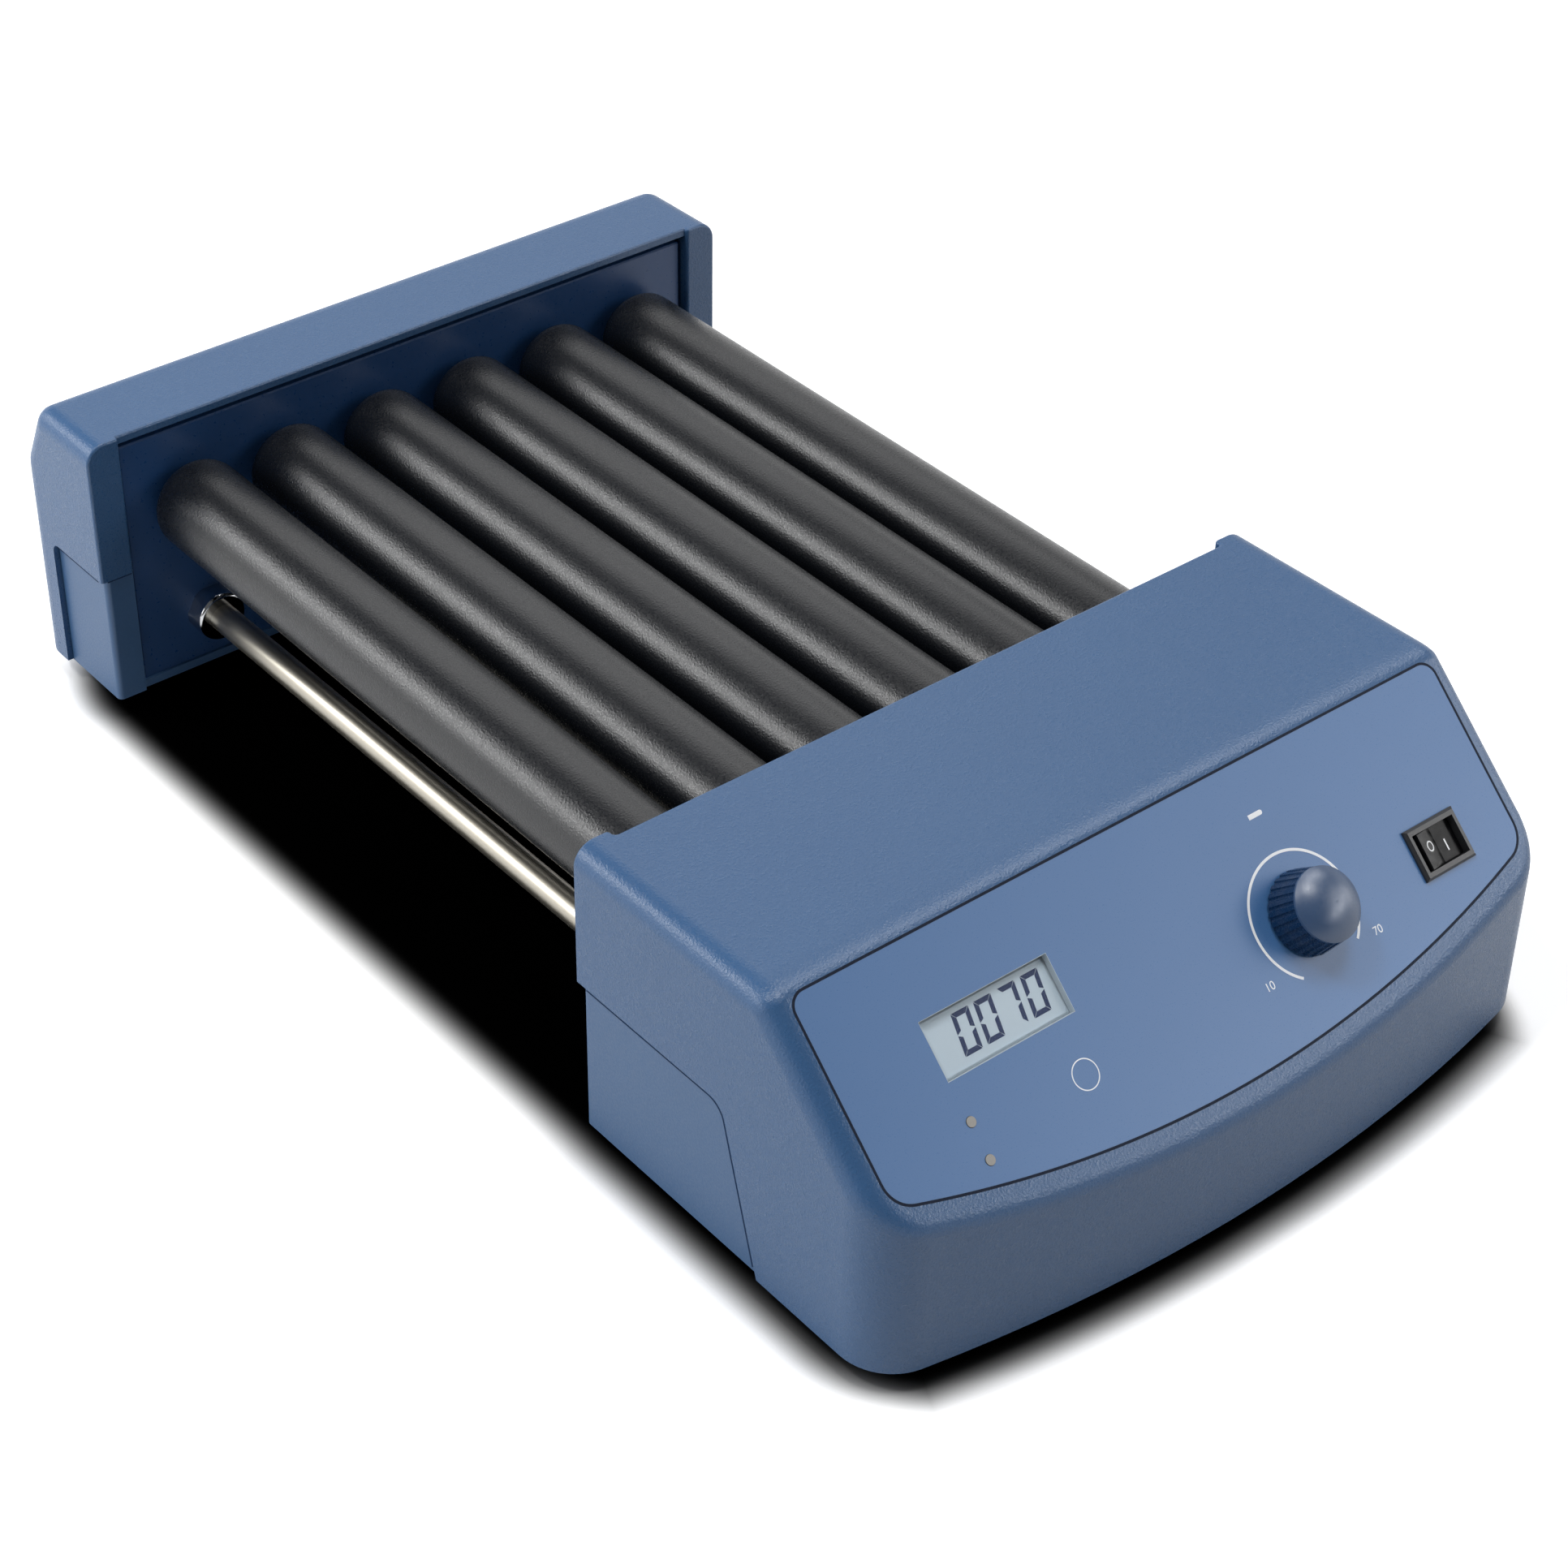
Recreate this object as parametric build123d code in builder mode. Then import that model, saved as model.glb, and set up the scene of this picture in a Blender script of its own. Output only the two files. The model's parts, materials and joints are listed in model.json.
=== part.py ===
from build123d import *
from math import asin, atan2, cos, radians, sin, sqrt, tan
import os

os.makedirs("parts", exist_ok=True)

# Frame: X across the machine, Y along the rollers from the control housing (-Y)
# to the end housing (+Y), Z up. The origin is on the table, under the middle.

# Overall sizes
housing_height = 102.0
control_depth = 144.0
bed_length = 272.0
end_depth = 48.5
foot_height = 8.0

# Moulded housings
wall = 3.0
edge_radius = 7.0
lip_radius = 1.0
pillar_width = 12.5
pillar_depth = 11.0
pillar_radius = 1.4
control_pillar_reach = 3.0
end_pillar_reach = 1.6
floor_thickness = 3.0
base_gap = 0.3
base_wall = 2.5
base_rim_height = 12.0
base_setback = 1.0
base_corner_radius = 2.0
seam_gap = 0.4
post_radius = 4.0
front_post_inset = 15.5
front_post_run = 32.0
rear_post_inset = 19.5
rear_post_run = 62.0
end_post_inset = 43.5
end_post_run = 11.0
end_pillar_radius = 1.15
end_recess_radius = 0.35

# Control housing: flat top, sloping panel and a bowed front skirt
control_top_run = 79.0
panel_angle = 43.6
front_radius = 575.0
corner_radius = 18.0
brow_run = 7.4
brow_drop = 3.0
control_seam_height = 54.0
seam_bend_run = 63.0
seam_foot_run = 78.8
seam_bend_radius = 7.0
control_base_step = 1.75

# End housing: flat top and a back that leans out to a bulge
end_top_run = 34.0
end_back_height = 74.0
end_top_radius = 8.0
end_corner_radius = 10.0
end_seam_height = 49.5
end_seam_run = 32.0
end_seam_radius = 4.0
end_base_step = 2.0

# Plates that carry the rollers
plate_recess = 2.0
plate_thickness = 3.0
plate_side_gap = 1.5
plate_top_drop = 6.0
plate_foot_depth = 14.0
plate_chamfer = 0.5

# Rollers
roller_count = 6
roller_radius = 16.2
roller_spacing = 5.1
roller_side_inset = 37.75
roller_axis_height = 67.9
roller_shoulder = 6.5
roller_end_gap = 2.0
roller_rocking_offset = 1.2
sleeve_thickness = 1.7
sleeve_cap = 7.0
sleeve_hub_radius = 6.0
tube_wall = 1.5
plug_length = 12.0
shaft_radius = 4.0
bush_clearance = 0.05
bush_wall = 1.95
bush_flange_radius = 8.0
bush_flange_thickness = 1.2
bush_tail = 5.0
shaft_tail = 2.0

# Belt drive
pulley_radius = 10.0
pulley_flange_height = 2.0
pulley_flange = 1.0
groove_width = 6.0
groove_count = 3
pulley_gap = 1.0
belt_width = 5.0
belt_thickness = 1.2
belt_clearance = 0.3
motor_pulley_radius = 7.3
motor_axis_height = 28.0
motor_shaft_radius = 3.0
motor_radius = 18.5
gearbox_length = 22.0
motor_can_radius = 17.0
motor_can_length = 34.0
bracket_thickness = 2.0
bracket_gap = 4.0
motor_boss_radius = 6.0
motor_shaft_seat = 12.0
bracket_foot = 18.0

# Tie rods below the outer rollers
rod_radius = 5.0
rod_side_inset = 42.5
rod_height = 20.5
collar_flats = 18.2
collar_radius = 9.7
collar_nose_radius = 9.0
collar_length = 7.6
collar_round = 1.4
nut_flats = 17.0
nut_length = 8.0
rod_tail = 3.0

# Feet and screws
foot_radius = 10.0
foot_taper = 7.0
foot_side_inset = 26.5
control_foot_inset = 32.0
end_foot_inset = 24.0
screw_radius = 2.0
screw_head_radius = 3.5
screw_head_height = 2.2
screw_clearance = 0.1
foot_screw_well = 4.0
boss_radius = 6.0
boss_height = 8.0

# Control panel
overlay_margin = 2.6
overlay_side_margin = 7.5
overlay_chin_margin = 7.0
overlay_thickness = 0.6
overlay_groove = 0.3
overlay_top_radius = 5.0
overlay_bottom_radius = 9.0
display_inset = 55.1
display_s = 30.8
display_length = 46.2
display_height = 17.8
display_clearance = 0.2
display_drop = 0.9
display_window = 1.2
display_air = 0.4
display_rim = 0.7
display_border = 6.0
display_body = 5.0
lamp_inset = 32.8
lamp_s = 51.5
lamp_pitch = 11.15
lamp_radius = 1.5
lamp_proud = 0.3
knob_inset = 85.2
knob_s = 47.1
switch_inset = 29.7
switch_s = 49.15

# Speed knob and its potentiometer
knob_gap = 0.8
knob_base_radius = 12.8
knob_top_radius = 11.2
knob_height = 10.2
knob_flute_count = 28
knob_flute_radius = 0.8
knob_well_radius = 9.0
knob_well_depth = 3.0
cap_radius = 11.2
cap_rise = 4.2
cap_rim = 0.8
pot_shaft_radius = 3.0
pot_clearance = 0.05
pot_bush_radius = 3.5
pot_bush_proud = 1.2
pot_body_radius = 8.0
pot_body_depth = 9.0
pot_end_wall = 1.5
pot_nut_flats = 9.0
pot_nut_height = 1.0
knob_bore_depth = 8.0

# Rocker switch
bezel_length = 21.0
bezel_width = 16.2
bezel_proud = 1.6
bezel_chamfer = 0.8
switch_body_length = 19.2
switch_body_width = 13.2
switch_body_depth = 17.0
rocker_reach = 8.35
rocker_gap = 0.3
rocker_width = 11.2
rocker_tilt = 10.0
rocker_pivot_depth = 2.6
rocker_waist = 1.8
rocker_below = 3.0
rocker_pin_radius = 1.0
rocker_pin_length = 0.6
rocker_pin_clearance = 0.05

# Mains inlet in the right wall of the control base
inlet_run = 28.0
inlet_height = 27.0
inlet_flange_length = 31.0
inlet_flange_width = 24.0
inlet_flange_thickness = 1.4
inlet_corner_radius = 2.0
inlet_body_length = 27.2
inlet_body_width = 20.0
inlet_body_depth = 18.0
inlet_mouth_length = 24.4
inlet_mouth_width = 16.8
inlet_mouth_depth = 15.0
inlet_pin_spacing = 7.0
inlet_pin_lift = 2.0
inlet_pin_width = 4.0
inlet_pin_thickness = 2.0
inlet_pin_length = 12.0

# Boards
board_thickness = 1.6
control_board_length = 88.0
control_board_height = 50.0
control_board_s = 44.0
control_board_inset = 60.0
control_board_gap = 11.0
power_board_length = 60.0
power_board_width = 54.0
power_board_inset = 62.5
power_board_run = 92.0
standoff_height = 6.0
standoff_radius = 3.0
standoff_inset = 5.0
chip_size = 14.0
chip_height = 2.5
connector_width = 7.0
connector_length = 28.0
connector_shift = 22.0
transformer_width = 27.0
transformer_length = 22.0
transformer_height = 18.0
transformer_shift = 6.75
capacitor_radius = 6.0
capacitor_shift = 18.0
parts_run = 10.0

# Small screws
small_screw_radius = 1.5
small_head_radius = 2.8
small_head_height = 1.8
small_screw_grip = 6.0
plate_screw_spread = 55.0
motor_screw_spread = 13.0

# Places worked out from the sizes
roller_pitch = 2 * roller_radius + roller_spacing
width = (roller_count - 1) * roller_pitch + 2 * roller_side_inset
half_width = width / 2
base_z = foot_height
top_z = base_z + housing_height
total_length = control_depth + bed_length + end_depth
front_y = -total_length / 2
control_lip_y = front_y + control_depth
end_lip_y = control_lip_y + bed_length
back_y = end_lip_y + end_depth
floor_top = base_z + floor_thickness
control_seam_z = base_z + control_seam_height
end_seam_z = base_z + end_seam_height
pillar_x = half_width - pillar_width
plate_half = pillar_x - plate_side_gap
plate_top = top_z - plate_top_drop
control_plate_y = control_lip_y - plate_recess
end_plate_y = end_lip_y + plate_recess
axis_z = base_z + roller_axis_height
motor_z = base_z + motor_axis_height
rod_z = base_z + rod_height
rod_spread = half_width - rod_side_inset
foot_spread = half_width - foot_side_inset
end_post_spread = half_width - end_post_inset
overlay_half_width = half_width - overlay_side_margin
display_u = -overlay_half_width + display_inset
lamp_u = -overlay_half_width + lamp_inset
knob_u = overlay_half_width - knob_inset
switch_u = overlay_half_width - switch_inset
control_board_u = -overlay_half_width + control_board_inset
power_board_x = -half_width + power_board_inset
bed_middle_y = (control_lip_y + end_lip_y) / 2
slope = radians(panel_angle)
brow_y = control_lip_y - control_top_run
bore_radius = shaft_radius + bush_clearance
bush_radius = bore_radius + bush_wall
sleeve_length = bed_length + 2 * (plate_recess - roller_end_gap)
lean_angle = asin(2 * roller_rocking_offset / sleeve_length)
control_shaft_root = control_plate_y + roller_end_gap + sleeve_cap + plug_length
end_shaft_root = end_plate_y - roller_end_gap - sleeve_cap - plug_length
end_shaft_tip = end_plate_y + plate_thickness + bush_tail + shaft_tail
pulley_head_y = control_plate_y - plate_thickness - bush_tail - pulley_gap
pulley_length = groove_count * groove_width + (groove_count + 1) * pulley_flange
pulley_tail_y = pulley_head_y - pulley_length
roller_xs = [(i - (roller_count - 1) / 2) * roller_pitch for i in range(roller_count)]

# The sloping panel: local X is u, across, and local Y runs up the slope,
# so that a place at distance s down the slope has local Y of -s.
down_y = -cos(slope)
down_z = -sin(slope)
panel = Plane(
    origin=(0, brow_y + overlay_margin * down_y, top_z + overlay_margin * down_z),
    x_dir=(1, 0, 0),
    z_dir=(0, down_z, -down_y),
)
knob_plane = Plane(
    origin=panel.from_local_coords((knob_u, -knob_s, 0)),
    x_dir=panel.x_dir,
    z_dir=panel.z_dir,
)
knob_side = Plane(origin=knob_plane.origin, x_dir=panel.x_dir, z_dir=-panel.y_dir)
knob_axis = Axis(knob_plane.origin, panel.z_dir)
pot_shaft_depth = wall + pot_body_depth - pot_end_wall
switch_plane = Plane(
    origin=panel.from_local_coords((switch_u, -switch_s, 0)),
    x_dir=panel.x_dir,
    z_dir=panel.z_dir,
)
rocker_plane = Plane(
    origin=switch_plane.origin - panel.z_dir * rocker_pivot_depth,
    x_dir=panel.x_dir,
    z_dir=-panel.y_dir,
)
inlet_plane = Plane(
    origin=(half_width - control_base_step, control_lip_y - inlet_run, base_z + inlet_height),
    x_dir=(0, 1, 0),
    z_dir=(1, 0, 0),
)
motor_x = roller_xs[(roller_count - 1) // 2]
motor_pulley_length = groove_width + 2 * pulley_flange
panel_length = (brow_y - front_y) / cos(slope) - overlay_margin
overlay_length = panel_length - overlay_chin_margin
overlay_arc = front_radius * cos(slope) - overlay_chin_margin
overlay_side = overlay_length - overlay_arc + sqrt(overlay_arc**2 - overlay_half_width**2)


def upright(y):
    """Plane that faces -Y at a given Y, with local X across and local Y up."""
    return Plane(origin=(0, y, 0), x_dir=(1, 0, 0), z_dir=(0, -1, 0))


def turned(plane, angle):
    """The same plane with its own axes turned about its normal, in degrees."""
    turn = radians(angle)
    along = plane.x_dir * cos(turn) + plane.y_dir * sin(turn)
    return Plane(origin=plane.origin, x_dir=along, z_dir=plane.z_dir)


def groove_y(groove):
    """Y of the middle of one belt groove of the roller pulleys."""
    return pulley_head_y - pulley_flange - groove_width / 2 - groove * (groove_width + pulley_flange)


def belt_loop(first, second, first_radius, second_radius):
    """Flat belt round two pulleys, drawn in the plane of its loop."""
    with BuildSketch() as outside:
        with Locations(first):
            Circle(first_radius + belt_clearance + belt_thickness)
        with Locations(second):
            Circle(second_radius + belt_clearance + belt_thickness)
        make_hull()
    with BuildSketch() as inside:
        with Locations(first):
            Circle(first_radius + belt_clearance)
        with Locations(second):
            Circle(second_radius + belt_clearance)
        make_hull()
    with BuildSketch() as loop:
        add(outside.sketch)
        add(inside.sketch, mode=Mode.SUBTRACT)
    return loop.sketch


def collar_nut(x, face_y, away):
    """Polished nut with a rounded front, seated on a plate at face_y."""
    side = Plane(origin=(x, face_y, rod_z), x_dir=(1, 0, 0), z_dir=(0, 0, away))
    with BuildPart() as nut:
        with BuildSketch(side) as profile:
            with BuildLine():
                Polyline(
                    (rod_radius, 0),
                    (collar_radius, 0),
                    (collar_nose_radius, collar_length),
                    (rod_radius, collar_length),
                    close=True,
                )
            make_face()
            fillet(profile.vertices().sort_by_distance((collar_nose_radius, collar_length))[0], collar_round)
        revolve(axis=Axis((x, face_y, rod_z), (0, 1, 0)))
        with BuildSketch(upright(face_y)):
            with Locations((x, rod_z)):
                RegularPolygon(collar_flats / 2, 6, major_radius=False)
        extrude(amount=-away * collar_length, mode=Mode.INTERSECT)
    return nut.part


def finish(piece, name):
    """Label a finished piece and write it."""
    piece.part.label = name
    export_step(piece.part, f"parts/{name}.step")
    print(name, round(piece.part.volume), "mm3")


def control_plan(inset, rear):
    """Outline seen from above: straight sides, rounded corners, bowed front."""
    half = half_width - inset
    nose = front_y + inset
    side = front_y + front_radius - sqrt((front_radius - inset) ** 2 - half**2)
    with BuildSketch() as plan:
        with BuildLine():
            ThreePointArc((-half, side), (0, nose), (half, side))
            Polyline((half, side), (half, rear), (-half, rear), (-half, side))
        make_face()
        fillet(plan.vertices().group_by(Axis.Y)[0], corner_radius - inset)
    return plan.sketch


def control_form(inset):
    """The control housing's outer form, or the same form drawn in by a wall."""
    half = half_width - inset
    top = top_z - inset
    rear = control_lip_y + control_pillar_reach + inset
    corner = brow_y + inset * tan(slope / 2)
    nose = front_y + inset
    low = nose - corner_radius
    low_z = top - (corner - low) * tan(slope)
    brow_top = (corner + brow_run, top)
    brow_end = (corner + brow_drop * down_y, top + brow_drop * down_z)
    with BuildPart() as form:
        with BuildSketch(Plane.YZ):
            with BuildLine():
                Polyline(brow_top, (rear, top), (rear, base_z), (low, base_z), (low, low_z), brow_end)
                Bezier(brow_top, (corner, top), brow_end)
            make_face()
        extrude(amount=half, both=True)
        with BuildSketch(Plane.XY.offset(base_z)):
            add(control_plan(inset, rear))
        extrude(amount=housing_height, mode=Mode.INTERSECT)
        rim = [
            edge
            for edge in form.edges()
            if edge.center().Z > base_z + 1
            and abs((edge % 0.5).Z) < 0.99
            and edge.center().Y < rear - 0.1
            and (abs(edge.center().X) > half - corner_radius or edge.center().Y < nose + 10)
        ]
        fillet(rim, edge_radius - inset)
    return form.part


def end_plan(inset, lip):
    """Outline of the end housing seen from above, with rounded back corners."""
    half = half_width - inset
    back = back_y - inset
    with BuildSketch() as plan:
        with BuildLine():
            Polyline((-half, lip), (half, lip), (half, back), (-half, back), close=True)
        make_face()
        fillet(plan.vertices().group_by(Axis.Y)[-1], end_corner_radius - inset)
    return plan.sketch


def end_form(inset):
    """The end housing's outer form, or the same form drawn in by a wall."""
    lean = atan2(back_y - end_lip_y - end_top_run, housing_height - end_back_height)
    half = half_width - inset
    top = top_z - inset
    back = back_y - inset
    lip = end_lip_y - end_pillar_reach - inset
    corner = end_lip_y + end_top_run - inset * tan((radians(90) - lean) / 2)
    bulge = top - (back - corner) / tan(lean)
    with BuildPart() as form:
        with BuildSketch(Plane.YZ) as profile:
            with BuildLine():
                Polyline((lip, base_z), (lip, top), (corner, top), (back, bulge), (back, base_z), close=True)
            make_face()
            fillet(profile.vertices().sort_by_distance((corner, top))[0], end_top_radius - inset)
        extrude(amount=half, both=True)
        with BuildSketch(Plane.XY.offset(base_z)):
            add(end_plan(inset, lip))
        extrude(amount=housing_height, mode=Mode.INTERSECT)
        rim = [
            edge
            for edge in form.edges()
            if edge.center().Z > base_z + 1
            and abs((edge % 0.5).Z) < 0.99
            and edge.center().Y > lip + 0.1
            and (abs(edge.center().X) > half - end_corner_radius or edge.center().Y > back - 0.1)
        ]
        fillet(rim, edge_radius - inset)
    return form.part


def control_seam(shrink):
    """Side view of the part of the control housing's side that the base fills."""
    rear = control_lip_y + control_pillar_reach + (shrink - base_setback if shrink else 1)
    bend = control_lip_y - seam_bend_run
    toe = control_lip_y - seam_foot_run
    low = base_z - shrink
    with BuildSketch() as outline:
        with BuildLine():
            Polyline((rear, low), (rear, control_seam_z), (bend, control_seam_z), (toe, low), close=True)
        make_face()
        fillet(outline.vertices().sort_by_distance((bend, control_seam_z))[0], seam_bend_radius)
        if shrink:
            offset(amount=-shrink)
    return outline.sketch


def end_seam(shrink):
    """Side view of the part of the end housing's side that the base fills."""
    lip = end_lip_y - end_pillar_reach - (shrink - base_setback if shrink else 1)
    back = end_lip_y + end_seam_run
    low = base_z - shrink
    with BuildSketch() as outline:
        with BuildLine():
            Polyline((lip, low), (lip, end_seam_z), (back, end_seam_z), (back, low), close=True)
        make_face()
        fillet(outline.vertices().sort_by_distance((back, end_seam_z))[0], end_seam_radius)
        if shrink:
            offset(amount=-shrink)
    return outline.sketch


def pillars(low, high, near_y, far_y, inset):
    """Two upright blocks at the sides, between two heights and two Y places."""
    middle = (pillar_x + half_width - inset) / 2
    with BuildPart() as blocks:
        with BuildSketch(Plane.XY.offset(low)):
            with Locations((-middle, (near_y + far_y) / 2), (middle, (near_y + far_y) / 2)):
                Rectangle(half_width - inset - pillar_x, abs(far_y - near_y))
        extrude(amount=high - low)
    return blocks.part


def lip_recess(lip_y, reach, inner_radius, outer_radius):
    """Plan of what is cut away between the two pillars, and past their faces."""
    pillar_y = lip_y + reach
    away = half_width + pillar_width
    with BuildSketch() as plan:
        with BuildLine():
            Polyline(
                (-away, pillar_y),
                (-pillar_x, pillar_y),
                (-pillar_x, lip_y),
                (pillar_x, lip_y),
                (pillar_x, pillar_y),
                (away, pillar_y),
                (away, pillar_y + reach),
                (-away, pillar_y + reach),
                close=True,
            )
        make_face()
        for x in (-pillar_x, pillar_x):
            fillet(plan.vertices().sort_by_distance((x, lip_y))[0], inner_radius)
            fillet(plan.vertices().sort_by_distance((x, pillar_y))[0], outer_radius)
    return plan.sketch


def overlay_outline(grow):
    """The printed panel's outline in the panel plane, with its bowed lower edge."""
    left_foot = (-overlay_half_width, -overlay_side)
    right_foot = (overlay_half_width, -overlay_side)
    with BuildSketch() as outline:
        with BuildLine():
            ThreePointArc(left_foot, (0, -overlay_length), right_foot)
            Polyline(right_foot, (overlay_half_width, 0), (-overlay_half_width, 0), left_foot)
        make_face()
        fillet(outline.vertices().group_by(Axis.Y)[-1], overlay_top_radius)
        fillet(outline.vertices().group_by(Axis.Y)[0], overlay_bottom_radius)
        if grow:
            offset(amount=grow)
    return outline.sketch


def roller_plane(x):
    """Plane through a roller's own leaning axis: local Y runs along the axis."""
    normal = (0, -sin(lean_angle), cos(lean_angle))
    return Plane(origin=(x, bed_middle_y, axis_z), x_dir=(1, 0, 0), z_dir=normal)


# Where the covers are screwed to their bases, from below
control_posts = [
    (-half_width + front_post_inset, front_y + front_post_run),
    (half_width - front_post_inset, front_y + front_post_run),
    (-half_width + rear_post_inset, control_lip_y - rear_post_run),
    (half_width - rear_post_inset, control_lip_y - rear_post_run),
]
end_posts = [(-end_post_spread, back_y - end_post_run), (end_post_spread, back_y - end_post_run)]
foot_places = [
    (-foot_spread, front_y + control_foot_inset + foot_radius),
    (foot_spread, front_y + control_foot_inset + foot_radius),
    (-foot_spread, back_y - end_foot_inset),
    (foot_spread, back_y - end_foot_inset),
]

power_board_y = control_lip_y - power_board_run
control_plate_screws = [
    (i * plate_screw_spread, control_plate_y - (plate_thickness + plate_foot_depth) / 2) for i in (-1, 0, 1)
]
end_plate_screws = [
    (i * plate_screw_spread, end_plate_y + (plate_thickness + plate_foot_depth) / 2) for i in (-1, 0, 1)
]
drive_groove_y = groove_y(groove_count - 1)
motor_pulley_head_y = drive_groove_y + motor_pulley_length / 2
bracket_y = motor_pulley_head_y - motor_pulley_length - bracket_gap
motor_face_y = bracket_y - bracket_thickness
bracket_screws = [(motor_x + i * motor_screw_spread, motor_face_y - bracket_foot / 2) for i in (-1, 1)]

# Hollow of the control cover, leaving the pillars and the screw posts standing
with BuildPart() as control_hollow:
    add(control_form(wall))
    rear_y = control_lip_y + control_pillar_reach
    add(pillars(base_z, top_z, rear_y - pillar_depth, rear_y + 2 * wall, 0), mode=Mode.SUBTRACT)
    with BuildSketch(Plane.XY.offset(floor_top)):
        with Locations(*control_posts):
            Circle(post_radius)
    extrude(amount=housing_height, mode=Mode.SUBTRACT)

# Control cover: the grained shell with the sloping panel
with BuildPart() as control_cover:
    add(control_form(0))
    with BuildSketch(Plane.XY.offset(base_z)):
        add(lip_recess(control_lip_y, control_pillar_reach, pillar_radius, pillar_radius))
    extrude(amount=housing_height, mode=Mode.SUBTRACT)
    lip_edge = control_cover.edges().sort_by_distance((0, control_lip_y, top_z))[0]
    fillet(lip_edge, lip_radius)
    add(control_hollow.part, mode=Mode.SUBTRACT)
    with BuildSketch(Plane.YZ):
        add(control_seam(0))
    extrude(amount=width, both=True, mode=Mode.SUBTRACT)
    with BuildSketch(panel):
        add(overlay_outline(overlay_groove))
    extrude(amount=-overlay_thickness, mode=Mode.SUBTRACT)
    with BuildSketch(panel):
        with Locations((display_u, -display_s)):
            Rectangle(display_length, display_height)
        with Locations((switch_u, -switch_s)):
            Rectangle(switch_body_length + 2 * screw_clearance, switch_body_width + 2 * screw_clearance)
        with Locations((knob_u, -knob_s)):
            Circle(pot_bush_radius + screw_clearance)
        with Locations((lamp_u, -lamp_s), (lamp_u, -lamp_s - lamp_pitch)):
            Circle(lamp_radius + screw_clearance)
    extrude(amount=-2 * wall, mode=Mode.SUBTRACT)
    with BuildSketch(Plane.XY.offset(floor_top)):
        with Locations(*control_posts):
            Circle(screw_radius)
    extrude(amount=boss_height, mode=Mode.SUBTRACT)
finish(control_cover, "control_cover")

# Control base: a floor with a rim inside the cover and the side cheeks that show
with BuildPart() as control_base:
    rear_y = control_lip_y + control_pillar_reach
    floor_rear = control_lip_y - lip_radius
    with BuildSketch(Plane.XY.offset(base_z)):
        add(control_plan(wall + base_gap, floor_rear))
    extrude(amount=floor_thickness)
    with BuildSketch(Plane.XY.offset(floor_top)):
        add(control_plan(wall + base_gap, floor_rear))
        add(control_plan(wall + base_gap + base_wall, floor_rear + base_wall), mode=Mode.SUBTRACT)
    extrude(amount=base_rim_height)
    for side in (-1, 1):
        with BuildSketch(Plane.YZ.offset(side * (half_width - control_base_step - base_wall))):
            add(control_seam(seam_gap))
        extrude(amount=side * base_wall)
    add(
        pillars(
            base_z,
            control_seam_z - seam_gap,
            rear_y - pillar_depth,
            rear_y - base_setback,
            control_base_step,
        )
    )
    corners = [
        edge
        for edge in control_base.edges().filter_by(Axis.Z)
        if edge.center().Y > rear_y - base_setback - 0.01 and abs(edge.center().X) > pillar_x + 1
    ]
    fillet(corners, base_corner_radius)
    with BuildSketch(Plane.XY.offset(floor_top)):
        with Locations(*foot_places[:2]):
            Circle(boss_radius)
    extrude(amount=boss_height)
    with BuildSketch(Plane.XY.offset(base_z)):
        with Locations(*foot_places[:2], *control_posts):
            Circle(screw_radius)
    extrude(amount=boss_height, mode=Mode.SUBTRACT)
    with BuildSketch(Plane.XY.offset(base_z)):
        with Locations(*control_plate_screws, *bracket_screws):
            Circle(small_screw_radius)
    extrude(amount=floor_thickness, mode=Mode.SUBTRACT)
    with BuildSketch(inlet_plane):
        Rectangle(inlet_body_length, inlet_body_width)
    extrude(amount=-base_wall, mode=Mode.SUBTRACT)
finish(control_base, "control_base")

# Hollow of the end cover, leaving its pillars and screw posts standing
with BuildPart() as end_hollow:
    add(end_form(wall))
    lip_y = end_lip_y - end_pillar_reach
    add(pillars(base_z, top_z, lip_y - 2 * wall, lip_y + pillar_depth, 0), mode=Mode.SUBTRACT)
    with BuildSketch(Plane.XY.offset(floor_top)):
        with Locations(*end_posts):
            Circle(post_radius)
    extrude(amount=housing_height, mode=Mode.SUBTRACT)

# End cover: the same kind of shell, with a leaning back
with BuildPart() as end_cover:
    add(end_form(0))
    with BuildSketch(Plane.XY.offset(base_z)):
        add(lip_recess(end_lip_y, -end_pillar_reach, end_recess_radius, end_pillar_radius))
    extrude(amount=housing_height, mode=Mode.SUBTRACT)
    lip_edge = end_cover.edges().sort_by_distance((0, end_lip_y, top_z))[0]
    fillet(lip_edge, lip_radius)
    add(end_hollow.part, mode=Mode.SUBTRACT)
    with BuildSketch(Plane.YZ):
        add(end_seam(0))
    extrude(amount=width, both=True, mode=Mode.SUBTRACT)
    with BuildSketch(Plane.XY.offset(floor_top)):
        with Locations(*end_posts):
            Circle(screw_radius)
    extrude(amount=boss_height, mode=Mode.SUBTRACT)
finish(end_cover, "end_cover")

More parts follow.
